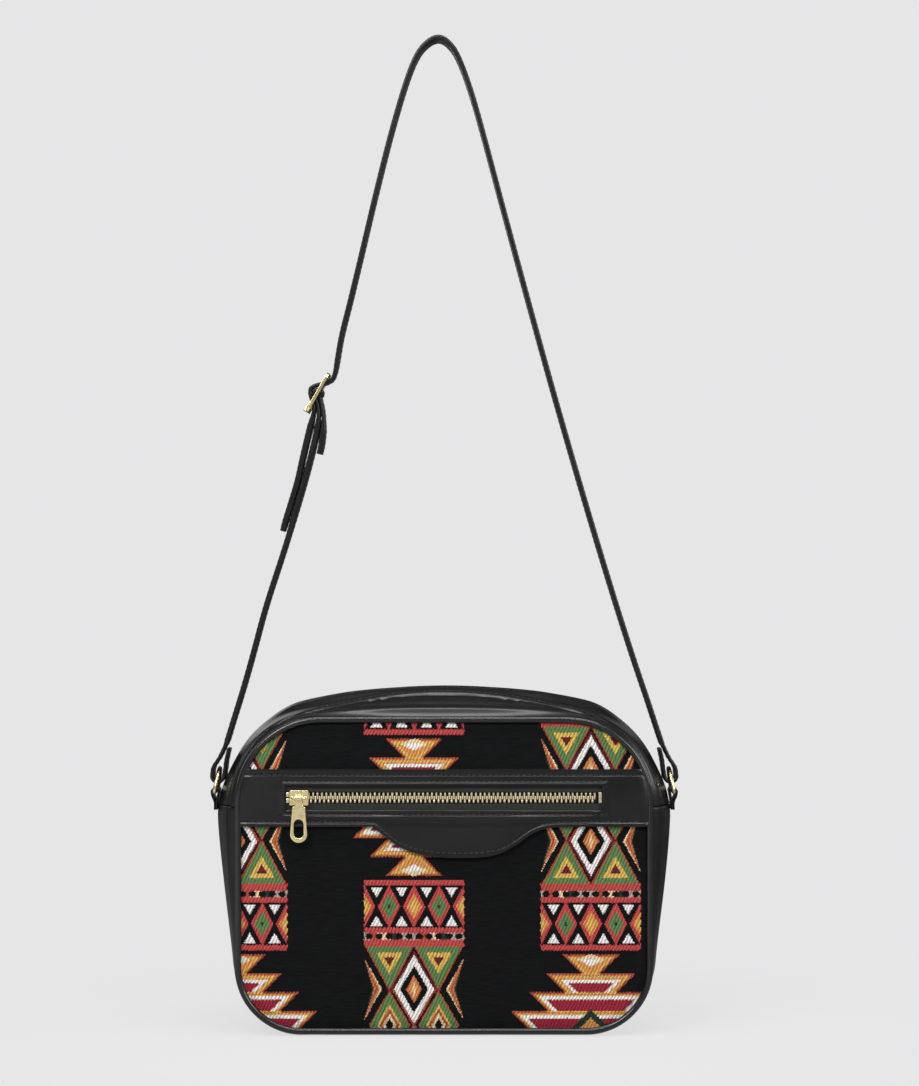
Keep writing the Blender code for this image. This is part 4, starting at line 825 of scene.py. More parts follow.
def cloth_material():
    """The jacquard: yarn colours from the mesh, with floats and chenille fuzz."""
    material, tree, shader = new_finish("kilim_jacquard", {"Roughness": 0.92, "Specular IOR Level": 0.12,
                                                           "Sheen Weight": 0.015, "Sheen Roughness": 0.6})
    where = add_node(tree, "ShaderNodeTexCoord").outputs["Object"]
    yarn = add_node(tree, "ShaderNodeAttribute", attribute_name="yarn").outputs
    weave = add_node(tree, "ShaderNodeGroup",
                     {"Vector": where, "Yarn": yarn["Color"], "Figure": yarn["Alpha"]},
                     {"Stitch Pitch": STITCH_PITCH}, node_tree=weave_group())
    tree.links.new(weave.outputs["Color"], shader.inputs["Base Color"])
    add_bump(tree, shader, weave.outputs["Height"], 0.9, 0.22 * MM)
    return material


def front_cloth():
    """The panel as a fine grid of crossings, each cell with the yarn that shows there."""
    columns = int(SEAM_WIDTH / CLOTH_CELL)
    xs = [(index - columns / 2) * CLOTH_CELL for index in range(columns + 1)]
    low_rows = int((POCKET_HEM + 1.5 * MM - SEAM_BOTTOM) / CLOTH_CELL)
    zs = [SEAM_BOTTOM + index * CLOTH_CELL for index in range(low_rows)]
    zs += spread(zs[-1], POCKET_HIGH - 1.5 * MM, 9)[1:]
    high_rows = int((SEAM_TOP - zs[-1]) / CLOTH_CELL)
    zs += [zs[-1] + (index + 1) * CLOTH_CELL for index in range(high_rows)]
    corners = []
    for z in zs:
        for x in xs:
            near_edge = 0.0 if inside_seam(x, z, 5.0 * MM) else (0.5 if inside_seam(x, z, 3.2 * MM) else 1.0)
            raised = 0.0 if woven_yarn(x, z) == "ground" else CLOTH_RELIEF
            soft = 0.10 * MM * noise.noise(Vector((x * 35.0, 1.7, z * 35.0)))
            corners.append((x, CLOTH_FACE - raised * (1.0 - near_edge) + 0.7 * MM * near_edge - soft, z))
    zip_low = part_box("front_zip_tape_lower")[0][2]
    zip_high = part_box("front_zip_tape_upper")[1][2]
    zip_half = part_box("front_zip_tape_lower")[1][0]
    faces = []
    colours = []
    for up in range(len(zs) - 1):
        z = (zs[up] + zs[up + 1]) / 2
        for side in range(columns):
            x = (xs[side] + xs[side + 1]) / 2
            if not inside_seam(x, z, 1.0 * MM):
                continue
            if zip_low < z < zip_high and abs(x) < zip_half:
                continue
            first = up * (columns + 1) + side
            faces.append((first, first + 1, first + columns + 2, first + columns + 1))
            yarn = woven_yarn(x, z)
            colour = (*YARNS[yarn], 0.0 if yarn == "ground" else 1.0)
            colours += colour * 4
    mesh = bpy.data.meshes.new("front_cloth")
    mesh.from_pydata(corners, [], faces)
    mesh.color_attributes.new("yarn", "FLOAT_COLOR", "CORNER").data.foreach_set("color", colours)
    mesh.shade_smooth()
    work = bmesh.new()
    work.from_mesh(mesh)
    bmesh.ops.delete(work, geom=[vert for vert in work.verts if not vert.link_faces], context="VERTS")
    work.to_mesh(mesh)
    work.free()
    return mesh


place_piece("front_cloth", front_cloth(), cloth_material(), ["front_fabric"])


# Back panel: one plain piece of the same faux leather, sewn into the piping and slightly pillowed.
panel_leather = leather("panel_faux_leather", grain_scale=1000.0, crease_scale=28.0, roughness=0.29)


def pull_inside(x, z, inset):
    """The nearest point within the seam line, set in by an inset."""
    half = SEAM_WIDTH / 2 - inset
    x = max(-half, min(half, x))
    z = max(SEAM_BOTTOM + inset, min(SEAM_TOP - inset, z))
    for low, corner in ((True, BOTTOM_CORNER), (False, TOP_CORNER)):
        middle_z = SEAM_BOTTOM + corner if low else SEAM_TOP - corner
        past_x = abs(x) - (SEAM_WIDTH / 2 - corner)
        past_z = middle_z - z if low else z - middle_z
        reach = math.hypot(past_x, past_z)
        if past_x > 0 and past_z > 0 and reach > corner - inset:
            share = (corner - inset) / reach
            x = math.copysign(SEAM_WIDTH / 2 - corner + past_x * share, x)
            z = middle_z + (-past_z if low else past_z) * share
    return x, z


def back_sheet():
    """The back as a grid that swells a little towards its middle."""
    face_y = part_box("back_panel")[1][1]
    step = 2.0 * MM
    rows = []
    for down in range(int(SEAM_HEIGHT / step) + 1):
        row = []
        for across in range(int(SEAM_WIDTH / step) + 1):
            x, z = pull_inside(across * step - SEAM_WIDTH / 2, SEAM_BOTTOM + down * step, 1.0 * MM)
            edge = min(SEAM_WIDTH / 2 - abs(x), z - SEAM_BOTTOM, SEAM_TOP - z)
            swell = min(1.0, edge / (26 * MM))
            out = 1.1 * MM * swell * (2 - swell) - 0.9 * MM * max(0.0, 1.0 - edge / (4 * MM))
            out += 0.5 * MM * swell * noise.noise(Vector((x * 14.0, 7.3, z * 14.0)))
            row.append((x, face_y + out, z))
        rows.append(row)

    def outside(down, across):
        corners = [rows[down + up][across + side] for up in (0, 1) for side in (0, 1)]
        return len({(round(x, 5), round(z, 5)) for x, _, z in corners}) < 4

    mesh = sheet_mesh("back_sheet", rows, skip=outside)
    mesh.flip_normals()
    return mesh


place_piece("back_sheet", back_sheet(), panel_leather, ["back_panel"])


# Pocket panel: a band of faux leather across the front. Its top is folded over and stitched, its
# window is turned in round the zip, and its hem drops in one long scallop with a stitched edge.
SCALLOP_DROP = POCKET_HEM - POCKET_LOW
WINDOW_HALF = SEAM_WIDTH / 2 - 27.5 * MM
WINDOW_HEIGHT = 14.3 * MM
ZIP_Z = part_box("front_bottom_stop")[0][2] / 2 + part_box("front_bottom_stop")[1][2] / 2
WINDOW_LOW = ZIP_Z - WINDOW_HEIGHT / 2
WINDOW_HIGH = ZIP_Z + WINDOW_HEIGHT / 2
POCKET_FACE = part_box("pocket_panel")[0][1]
HEM_KEYS = [(-41.0, 0.0), (-34.0, 0.33), (-25.0, 0.68), (-14.0, 0.90), (-2.0, 1.0), (21.0, 1.0),
            (32.0, 0.88), (41.0, 0.62), (50.0, 0.26), (58.0, 0.07), (67.0, 0.0)]
TOP_STITCH_INSET = 3.4 * MM
HEM_STITCH_INSET = 2.6 * MM
WINDOW_STITCH_INSET = 2.3 * MM
HEM_ROWS = 34
WINDOW_ROWS = 10


def hem_at(x):
    """Height of the pocket's hem at a place across the bag."""
    return POCKET_HEM - SCALLOP_DROP * smooth_between(HEM_KEYS, x / MM)


def fold_height(x):
    """The soft fold under the window, which turns up at its right end."""
    sag = 4.6 * MM - 0.9 * MM * (x / WINDOW_HALF) ** 2
    turn_up = max(0.0, x - WINDOW_HALF + 9.0 * MM) / (9.0 * MM)
    return WINDOW_LOW - sag + 5.5 * MM * turn_up ** 2


def pocket_out(x, z):
    """How far the pocket's face stands out at a place: folds, stitched grooves and soft waves."""
    past_window = max(abs(x) - WINDOW_HALF, abs(z - ZIP_Z) - WINDOW_HEIGHT / 2)
    out = -0.42 * MM * groove(POCKET_HIGH - z - TOP_STITCH_INSET, 0.7 * MM)
    out += 0.18 * MM * groove(POCKET_HIGH - z - 1.4 * MM, 1.2 * MM)
    hem_slope = (hem_at(x + 0.5 * MM) - hem_at(x - 0.5 * MM)) / MM
    from_hem = (z - hem_at(x)) / math.hypot(1.0, hem_slope)
    out -= 0.34 * MM * groove(from_hem - HEM_STITCH_INSET, 0.6 * MM)
    out += 0.16 * MM * groove(from_hem - 1.0 * MM, 0.9 * MM)
    out += 0.42 * MM * groove(past_window - 0.9 * MM, 0.9 * MM)
    out -= 0.30 * MM * groove(past_window - WINDOW_STITCH_INSET, 0.6 * MM)
    reach = share_of(WINDOW_HALF + 6.0 * MM - abs(x), 14.0 * MM)
    out += 0.55 * MM * reach * groove(z - fold_height(x), 1.3 * MM)
    out -= 0.35 * MM * reach * groove(z - fold_height(x) + 2.4 * MM, 1.5 * MM)
    out += 0.22 * MM * noise.noise(Vector((x * 30.0, 2.2, z * 55.0)))
    out += 0.60 * MM * noise.noise(Vector((x * 12.0, 5.2, z * 34.0)))
    beside = abs(x) - WINDOW_HALF - 5.0 * MM
    pucker = noise.noise(Vector((x * 25.0, 0.4, z * 190.0)))
    out += 0.30 * MM * pucker * groove(beside, 8.0 * MM)
    return out


def pocket_sheet():
    """The pocket as a grid whose lines follow its window, its hem and the bag's sides."""
    inner = spread(-WINDOW_HALF, WINDOW_HALF, 180)
    shares = spread(0.0, 1.0, 18)
    columns = [(-1, share) for share in reversed(shares[1:])]
    columns += [(0, x) for x in inner] + [(1, share) for share in shares[1:]]
    heights = [None] * HEM_ROWS + spread(WINDOW_LOW, WINDOW_HIGH, WINDOW_ROWS)
    heights += spread(WINDOW_HIGH, POCKET_HIGH, 22)[1:]
    rows = []
    for index, height in enumerate(heights):
        row = []
        for side, place in columns:
            base = POCKET_HEM if side else hem_at(place)
            z = height if height is not None else base + (WINDOW_LOW - base) * index / HEM_ROWS
            edge_x = pull_inside(SEAM_WIDTH, z, 1.2 * MM)[0]
            x = side * (WINDOW_HALF + (edge_x - WINDOW_HALF) * place) if side else place
            tuck = 0.8 * MM * max(0.0, 1.0 - (edge_x - abs(x)) / (3.5 * MM))
            row.append((x, POCKET_FACE - pocket_out(x, z) + tuck, z))
        rows.append(row)
    first = len(shares) - 1

    def in_window(down, across):
        between = HEM_ROWS <= down < HEM_ROWS + WINDOW_ROWS - 1
        return between and first <= across < first + len(inner) - 1

    return sheet_mesh("pocket_sheet", rows, skip=in_window)


thickened(place_piece("pocket_sheet", pocket_sheet(), panel_leather, ["pocket_panel"]),
          1.5 * MM, 0.45 * MM)


# Zips: two rows of pressed brass teeth clamped to the corded edges of woven tape. The pocket's
# chain shows in the window, and the main one follows the crest in the top gusset's slot.
TOOTH_PITCH = 2.54 * MM
TOOTH_WIDTH = 1.1 * MM
TOOTH_REACH = 0.95 * MM
CHAIN_HALF = 2.9 * MM
CHAIN_Y = (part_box("front_bottom_stop")[0][1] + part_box("front_bottom_stop")[1][1]) / 2
CHAIN_RADIUS = CREST_RADIUS - VALLEY_DEPTH - GUSSET_WALL - 0.6 * MM


def brass_group():
    """Handling marks, faint brushing and tarnish on plated brass, from the surface's own place."""
    group, start, end = new_group(
        "plated_brass",
        [("Vector", "NodeSocketVector", (0.0, 0.0, 0.0)), ("Bright", "NodeSocketColor", (0.8, 0.7, 0.4, 1.0)),
         ("Dull", "NodeSocketColor", (0.4, 0.3, 0.15, 1.0)), ("Roughness", "NodeSocketFloat", 0.2)],
        [("Color", "NodeSocketColor"), ("Roughness", "NodeSocketFloat"), ("Height", "NodeSocketFloat")])
    given = start.outputs
    place = {"Vector": given["Vector"]}
    cloud = add_node(group, "ShaderNodeTexNoise", place, {"Scale": 420.0, "Detail": 5.0}).outputs[0]
    fine = add_node(group, "ShaderNodeTexNoise", place, {"Scale": 2600.0, "Detail": 3.0})
    tarnish = add_node(group, "ShaderNodeMapRange", {"Value": cloud},
                       {"From Min": 0.50, "From Max": 0.78, "To Max": 0.7})
    tint = add_node(group, "ShaderNodeMix", {"Factor": tarnish.outputs[0], 6: given["Bright"],
                                             7: given["Dull"]}, data_type="RGBA")
    rough = add_node(group, "ShaderNodeMath", {0: cloud, 2: given["Roughness"]}, {1: 0.22},
                     operation="MULTIPLY_ADD")
    group.links.new(tint.outputs[2], end.inputs["Color"])
    group.links.new(rough.outputs[0], end.inputs["Roughness"])
    group.links.new(fine.outputs[0], end.inputs["Height"])
    return group


BRASS = brass_group()


def brass(name, bright, dull, roughness):
    """Pale gold plating over cast or pressed metal."""
    return surfaced(name, BRASS,
                    {"Bright": (*display_colour(*bright), 1.0), "Dull": (*display_colour(*dull), 1.0),
                     "Roughness": roughness},
                    0.35, 0.02 * MM, {"Metallic": 1.0})


teeth_brass = brass("zip_teeth_brass", (244, 230, 194), (186, 158, 110), 0.22)
hardware_brass = brass("plated_hardware", (246, 230, 178), (204, 176, 116), 0.14)


def rounded_block(work, low, high, edge, place=None):
    """Add a block with rounded edges to a mesh being made, moved by a matrix."""
    made = bmesh.ops.create_cube(work, size=1.0)["verts"]
    size = Vector(high) - Vector(low)
    middle = (Vector(high) + Vector(low)) / 2
    bmesh.ops.scale(work, vec=size, verts=made)
    bmesh.ops.translate(work, vec=middle, verts=made)
    edges = list({rim for vert in made for rim in vert.link_edges})
    shaped = bmesh.ops.bevel(work, geom=edges, offset=edge, segments=2, affect="EDGES", profile=0.5)
    kept = {vert for vert in made if vert.is_valid}
    moved = list({vert for face in shaped["faces"] for vert in face.verts} | kept)
    if place is not None:
        bmesh.ops.transform(work, matrix=place, verts=moved)
    return moved


def tooth_shape():
    """One pressed tooth: legs clamped on the tape's cord, a waist, and a rounded head."""
    work = bmesh.new()
    half = TOOTH_WIDTH / 2
    rounded_block(work, (-half, -1.15 * MM, 1.2 * MM), (half, 1.15 * MM, CHAIN_HALF), 0.28 * MM)
    rounded_block(work, (-half * 0.86, -0.8 * MM, -TOOTH_REACH), (half * 0.86, 0.8 * MM, 1.5 * MM), 0.26 * MM)
    return as_mesh(work, "tooth")


def joined(name, shape, places):
    """Many copies of one shape, each moved by its matrix, as one mesh."""
    corners = [vert.co.copy() for vert in shape.vertices]
    sides = [tuple(face.vertices) for face in shape.polygons]
    points = []
    faces = []
    for place in places:
        first = len(points)
        points += [place @ corner for corner in corners]
        faces += [tuple(first + corner for corner in side) for side in sides]
    mesh = bpy.data.meshes.new(name)
    mesh.from_pydata(points, [], faces)
    mesh.shade_smooth()
    return mesh


def sharp_from(mesh, degrees):
    """Keep a mesh's real edges crisp under smooth shading."""
    mesh.set_sharp_from_angle(angle=math.radians(degrees))
    return mesh


def on_crest(angle):
    """The main chain's place and turn at an angle round the crest."""
    centre = Matrix.Translation((0.0, 0.0, CREST_CENTRE_Z))
    return centre @ Matrix.Rotation(angle, 4, "Y") @ Matrix.Translation((0.0, 0.0, CHAIN_RADIUS))


def tooth_steps(length, stagger):
    """Places of the teeth along a chain, with one row half a pitch past the other."""
    count = int(length / TOOTH_PITCH)
    return [(number - (count - 1) / 2 + 0.25 * stagger) * TOOTH_PITCH for number in range(count)]


def tooth_row(node, places):
    """One row of teeth, clamped on its tape."""
    row = sharp_from(joined(node + "_row", tooth, places), 50)
    place_piece(node + "_row", row, teeth_brass, [node])


tooth = tooth_shape()
front_length = 2 * (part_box("front_bottom_stop")[0][0] - 1.2 * MM)
top_length = 2 * (math.asin(TOP_SLOT_LENGTH / 2 / CREST_RADIUS) * CHAIN_RADIUS - 1.5 * MM)
for up, node in ((-1, "front_teeth_lower"), (1, "front_teeth_upper")):
    turn = Matrix.Rotation(0.0 if up > 0 else math.pi, 4, "Y")
    tooth_row(node, [Matrix.Translation((x, CHAIN_Y, ZIP_Z)) @ turn for x in tooth_steps(front_length, up)])
for side, node in ((-1, "top_teeth_front"), (1, "top_teeth_rear")):
    flat = Matrix.Rotation(-side * math.pi / 2, 4, "X")
    tooth_row(node, [on_crest(step / CHAIN_RADIUS) @ flat for step in tooth_steps(top_length, side)])


def stitched_cloth(name, colour, thread_pitch):
    """Close woven cloth: warp and weft as fine crossing ribs, with painted shade in the hollows between them
    and painted highlight on their crests.
    """
    material, tree, shader = new_finish(name, {"Roughness": 0.85, "Sheen Weight": 0.05})
    where = add_node(tree, "ShaderNodeTexCoord").outputs["Object"]
    ribs = []
    for turn in (0.0, math.pi / 2):
        turned = add_node(tree, "ShaderNodeMapping", {"Vector": where}, {"Rotation": (0.0, turn, turn)})
        rib = add_node(tree, "ShaderNodeTexWave", {"Vector": turned.outputs[0]},
                       {"Scale": 0.314 / thread_pitch, "Distortion": 0.6, "Detail Scale": 3.0})
        ribs.append(rib.outputs["Fac"])
    height = add_node(tree, "ShaderNodeMath", {0: ribs[0], 1: ribs[1]}).outputs[0]
    # The colour follows the ribs' height: painted shade in the hollows, painted highlight on the crests.
    tint = add_node(tree, "ShaderNodeMapRange", {"Value": height},
                    {"From Max": 2.0, "To Min": colour * 0.55, "To Max": colour * 1.6})
    tree.links.new(tint.outputs[0], shader.inputs["Base Color"])
    add_bump(tree, shader, height, 0.8, 0.08 * MM)
    return material


def finish_node(node, material):
    """Keep a CAD node as it is and give it its finish."""
    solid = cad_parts[node]
    solid.data.materials.clear()
    solid.data.materials.append(material)


tape_cloth = stitched_cloth("zip_tape_weave", 0.012, 0.6 * MM)
for node in ("front_zip_tape_lower", "front_zip_tape_upper", "top_zip_tape_front", "top_zip_tape_rear"):
    finish_node(node, tape_cloth)
for node in ("front_top_stop_lower", "front_top_stop_upper", "front_bottom_stop"):
    finish_node(node, teeth_brass)


# Lining and pocket pouch: thin black cotton, sewn in behind the zips' tapes. Both zips are closed,
# so it hardly shows.
lining_cloth = stitched_cloth("cotton_lining", 0.028, 0.5 * MM)
for node in ("lining", "pocket_pouch"):
    finish_node(node, lining_cloth)


# Cast fittings: the pulls, sliders, D-rings, buckle and prong are die-cast and plated, with softly
# rounded edges. Each is the CAD solid melted a little, and each slider is hollow along its chain.
TUNNEL_HALF_LENGTH = 14.0 * MM
TUNNEL_HALF_DEPTH = 1.25 * MM


def chain_tunnel(middle):
    """A long block round the chain, which keeps a slider's inside clear of the teeth."""
    work = bmesh.new()
    corner = Vector((TUNNEL_HALF_LENGTH, TUNNEL_HALF_DEPTH, CHAIN_HALF + 0.15 * MM))
    rounded_block(work, -corner, corner, 0.2 * MM, middle)
    tunnel = bpy.data.objects.new("chain_tunnel", as_mesh(work, "chain_tunnel"))
    bpy.context.scene.collection.objects.link(tunnel)
    return tunnel


def mesh_as_shown(piece):
    """A piece's mesh with its modifiers in it."""
    bpy.context.view_layer.update()
    return bpy.data.meshes.new_from_object(piece.evaluated_get(bpy.context.evaluated_depsgraph_get()))


def melted(node, body, voxel, smoothing, keep_share, chain=None):
    """A cast-looking copy of a CAD solid, with its sharp edges rounded off."""
    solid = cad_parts[node]
    mesh = mesh_as_shown(solid)
    mesh.transform(solid.matrix_world)
    shape = bpy.data.objects.new(node + "_cast", mesh)
    bpy.context.scene.collection.objects.link(shape)
    if chain is not None:
        tunnel = chain_tunnel(chain)
        shape.modifiers.new("hollow", "BOOLEAN").object = tunnel
    remesh = shape.modifiers.new("one_casting", "REMESH")
    remesh.mode = "VOXEL"
    remesh.voxel_size = voxel
    remesh.use_smooth_shade = True
    flow = shape.modifiers.new("flow", "CORRECTIVE_SMOOTH")
    flow.iterations = smoothing
    flow.smooth_type = "SIMPLE"
    flow.factor = 0.5
    flow.use_only_smooth = True
    shape.modifiers.new("fewer_faces", "DECIMATE").ratio = keep_share
    cast = mesh_as_shown(shape)
    bpy.data.objects.remove(shape)
    if chain is not None:
        bpy.data.objects.remove(tunnel)
    cast.shade_smooth()
    place_piece(node + "_cast", cast, hardware_brass, [node], body)


def box_middle(node):
    """The middle of a CAD node's box."""
    return (Vector(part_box(node)[0]) + Vector(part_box(node)[1])) / 2


melted("front_pull", "pocket_pull", 0.16 * MM, 6, 0.5)
melted("top_pull", "main_pull", 0.18 * MM, 6, 0.5)
front_chain = Matrix.Translation((box_middle("front_slider").x, CHAIN_Y, ZIP_Z))
melted("front_slider", "pocket_slider", 0.16 * MM, 4, 0.5, front_chain)
top_middle = box_middle("top_slider")
slider_angle = math.atan2(top_middle.x, top_middle.z - CREST_CENTRE_Z)
top_chain = on_crest(slider_angle) @ Matrix.Rotation(math.pi / 2, 4, "X")
melted("top_slider", "main_slider", 0.18 * MM, 4, 0.5, top_chain)
melted("d_ring_left", "ring_left", 0.2 * MM, 4, 0.6)
melted("d_ring_right", "ring_right", 0.2 * MM, 4, 0.6)
melted("buckle_frame", "bag", 0.22 * MM, 4, 0.5)
melted("buckle_prong", "prong", 0.2 * MM, 3, 0.6)


# Strap and ring tabs: two plies of black faux leather glued back to back, stitched along both
# edges and painted on the raw sides. The long piece is punched and buckled, and the short piece
# and the tabs are skived thin where they fold round the metal.
STRAP_WIDTH = 18.0 * MM
STRAP_THICKNESS = 2.8 * MM
STRAP_SKIVED = 2.0 * MM
STRAP_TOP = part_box("long_strap")[1][2] - STRAP_THICKNESS / 2
STRAP_TOP_X = -3.5 * MM
RING_WIRE = 1.3 * MM
RING_LEG = 2.0 * MM
RING_HALF_WIDTH = 11.5 * MM
RING_LEAN = math.radians(10.0)
RING_PLAY = 1.15 * MM
RING_SET_OUT = 1.0 * MM
RING_ABOVE_JOIN = 6.9 * MM
FIT = 0.3 * MM
TAB_THICKNESS = 0.9 * MM
TAB_WIDTH = 19.5 * MM
TAB_DROP = 10.5 * MM
BAR_X = SEAM_WIDTH / 2 + gusset_offset(JOIN_AT, 0.0) + FIT + TAB_THICKNESS + FIT / 2 + RING_SET_OUT
BAR_Z = SEAM_TOP - TOP_CORNER - JOIN_BELOW_SHOULDER + RING_ABOVE_JOIN
BUCKLE_LEAN = math.radians(60.6)
BUCKLE_SHARES = (0.528, 0.540)
BUCKLE_BAR = 1.2 * MM
SLOT_HALF_WIDTH = 1.9 * MM
HOLE_RADIUS = 1.2 * MM
strap_leather = leather("strap_faux_leather", grain_scale=1200.0, crease_scale=60.0, depth=0.04 * MM)


def arc(middle, radius, start, end, count):
    """Points on an arc, with angles in degrees."""
    turns = [math.radians(turn) for turn in spread(start, end, count)]
    return [(middle[0] + radius * math.cos(turn), middle[1] + radius * math.sin(turn)) for turn in turns]


def at_ring(side, along, across):
    """A point of the strap's loop at a ring: along the ring's plane, and across it towards the bag."""
    x = BAR_X - along * math.sin(RING_LEAN) - across * math.cos(RING_LEAN)
    return side * x, BAR_Z + along * math.cos(RING_LEAN) - across * math.sin(RING_LEAN)


def ring_loop(side):
    """The strap's end folded round the ring, from the cut end to the run."""
    reach = RING_LEG + RING_HALF_WIDTH
    turn = RING_WIRE + RING_PLAY + STRAP_SKIVED / 2
    edge = math.sqrt(RING_HALF_WIDTH ** 2 - (STRAP_WIDTH / 2) ** 2)
    low = RING_LEG + edge - RING_WIRE * RING_HALF_WIDTH / edge - FIT + turn - STRAP_SKIVED / 2
    places = [(reach + 12.5 * MM, 3.5 * MM), (reach + 5.5 * MM, 3.2 * MM), (reach + 0.5 * MM, turn)]
    places += [(low + turn * math.sin(math.radians(angle)), turn * math.cos(math.radians(angle)))
               for angle in spread(0.0, -180.0, 9)]
    places += [(reach + 0.5 * MM, -turn), (reach + 6.5 * MM, -1.0 * MM), (reach + 13.5 * MM, 1.0 * MM)]
    return [at_ring(side, along, across) for along, across in places], [STRAP_SKIVED] * len(places)


def at_run(side, height_share, side_share):
    """A point of a strap run, by shares of the way from its ring to the strap's top."""
    x = STRAP_TOP_X + side_share * (side * BAR_X - STRAP_TOP_X)
    return x, BAR_Z + height_share * (STRAP_TOP - BAR_Z)


def at_buckle(along, across):
    """A point near the buckle, in millimetres: up along its plane, and out across it."""
    x, z = at_run(-1, *BUCKLE_SHARES)
    cos, sin = math.cos(BUCKLE_LEAN), math.sin(BUCKLE_LEAN)
    return x + along * MM * cos - across * MM * sin, z + along * MM * sin + across * MM * cos


def smooth_line(points, thicknesses, steps):
    """A smooth run through points, with the thickness carried along."""
    ends = [points[0], *points, points[-1]]
    line = []
    thick = []
    for index, (a, b, c, d) in enumerate(zip(ends, ends[1:], ends[2:], ends[3:])):
        for step in range(steps):
            t = step / steps
            line.append(tuple(
                0.5 * (2 * q + (r - p) * t + (2 * p - 5 * q + 4 * r - s) * t * t
                       + (3 * q - p - 3 * r + s) * t ** 3)
                for p, q, r, s in zip(a, b, c, d)))
            thick.append(thicknesses[index] * (1 - t) + thicknesses[index + 1] * t)
    return line + [points[-1]], thick + [thicknesses[-1]]


def evened(points, rounds):
    """Ease small kinks out of a line of given points, keeping its ends."""
    for _ in range(rounds):
        points = [points[0]] + [
            tuple(0.25 * a + 0.5 * b + 0.25 * c for a, b, c in zip(*three))
            for three in zip(points, points[1:], points[2:])] + [points[-1]]
    return points


def across_of(line):
    """The unit direction across a flat line at each of its points."""
    directions = []
    for index in range(len(line)):
        before = line[max(index - 1, 0)]
        after = line[min(index + 1, len(line) - 1)]
        run = math.hypot(after[0] - before[0], after[1] - before[1])
        directions.append(((before[1] - after[1]) / run, (after[0] - before[0]) / run))
    return directions


GROOVE_SHARES = (0.86, 0.78, 0.70, 0.0, -0.70, -0.78, -0.86)
GROOVE_DEPTHS = (0.0, 0.12 * MM, 0.0, -0.04 * MM, 0.0, 0.12 * MM, 0.0)


def ribbon(name, line, thicknesses, width):
    """A flat strap with rounded sides and two stitched grooves on each face, along a line in XZ."""
    rows = []
    for (x, z), (nx, nz), thick in zip(line, across_of(line), thicknesses):
        half = thick / 2
        edge = min(half * 0.72, 0.8 * MM)
        outline = []
        for quarter, (sign_y, sign_n) in enumerate(((1, 1), (-1, 1), (-1, -1), (1, -1))):
            for step in range(4):
                turn = math.radians(90 * quarter + 30 * step)
                outline.append((sign_y * (width / 2 - edge) + edge * math.cos(turn),
                                sign_n * (half - edge) + edge * math.sin(turn)))
            if quarter % 2 == 0:
                outline += [(sign_n * share * width / 2, sign_n * (half - low))
                            for share, low in zip(GROOVE_SHARES, GROOVE_DEPTHS)]
        rows.append([(x + nx * up, depth, z + nz * up) for depth, up in outline])
    mesh = sheet_mesh(name, rows, closed_rows=True)
    work = bmesh.new()
    work.from_mesh(mesh)
    bmesh.ops.holes_fill(work, edges=[rim for rim in work.edges if rim.is_boundary])
    bmesh.ops.recalc_face_normals(work, faces=work.faces)
    work.to_mesh(mesh)
    work.free()
    return sharp_from(mesh, 60)


def punched(piece, cutters):
    """Cut slots and holes out of a strap with solids that are removed afterwards."""
    for cutter in cutters:
        bpy.context.scene.collection.objects.link(cutter)
        cut = piece.modifiers.new("cut", "BOOLEAN")
        cut.operation = "DIFFERENCE"
        cut.object = cutter
        cut.use_self = True
    whole = mesh_as_shown(piece)
    piece.modifiers.clear()
    piece.data = whole
    for cutter in cutters:
        bpy.data.objects.remove(cutter)


def slot_cutter(name, low, high):
    """A block across the strap near the buckle, from one place along it to another."""
    work = bmesh.new()
    rounded_block(work, (low * MM, -SLOT_HALF_WIDTH, -4.2 * MM), (high * MM, SLOT_HALF_WIDTH, 7.5 * MM),
                  0.3 * MM)
    cutter = bpy.data.objects.new(name, as_mesh(work, name))
    x, z = at_buckle(0.0, 0.0)
    cutter.location = (x, 0.0, z)
    cutter.rotation_euler = (0.0, -BUCKLE_LEAN, 0.0)
    return cutter


def hole_cutter(along, across):
    """A drill through the strap's tail at a place near the buckle."""
    x, z = at_buckle(along, across)
    work = bmesh.new()
    upright = Matrix.Rotation(math.pi / 2 - BUCKLE_LEAN, 4, "Y") @ Matrix.Rotation(math.pi / 2, 4, "Y")
    bmesh.ops.create_cone(work, cap_ends=True, segments=20, radius1=HOLE_RADIUS, radius2=HOLE_RADIUS,
                          depth=12.0 * MM, matrix=Matrix.Translation((x, 0.0, z)) @ upright)
    return bpy.data.objects.new("drill", as_mesh(work, "drill"))


RIGHT_RUN = ((0.068, 0.947), (0.121, 0.892), (0.174, 0.832), (0.254, 0.749), (0.386, 0.624),
             (0.519, 0.496), (0.652, 0.383), (0.784, 0.264), (0.864, 0.200), (0.917, 0.151),
             (0.944, 0.123), (0.970, 0.091), (0.983, 0.070), (0.991, 0.048), (0.9975, 0.025), (1.0, 0.0))
LEFT_UPPER_RUN = ((0.9975, 0.028), (0.991, 0.056), (0.983, 0.083), (0.970, 0.108), (0.944, 0.142),
                  (0.917, 0.168), (0.864, 0.223), (0.784, 0.287), (0.705, 0.350), (0.652, 0.393),
                  (0.605, 0.433))
LEFT_LOWER_RUN = ((0.439, 0.586), (0.413, 0.605), (0.386, 0.628), (0.360, 0.655), (0.333, 0.675),
                  (0.307, 0.707), (0.280, 0.735), (0.254, 0.765), (0.227, 0.792), (0.200, 0.814),
                  (0.174, 0.839), (0.147, 0.864), (0.121, 0.890), (0.094, 0.920), (0.068, 0.946))


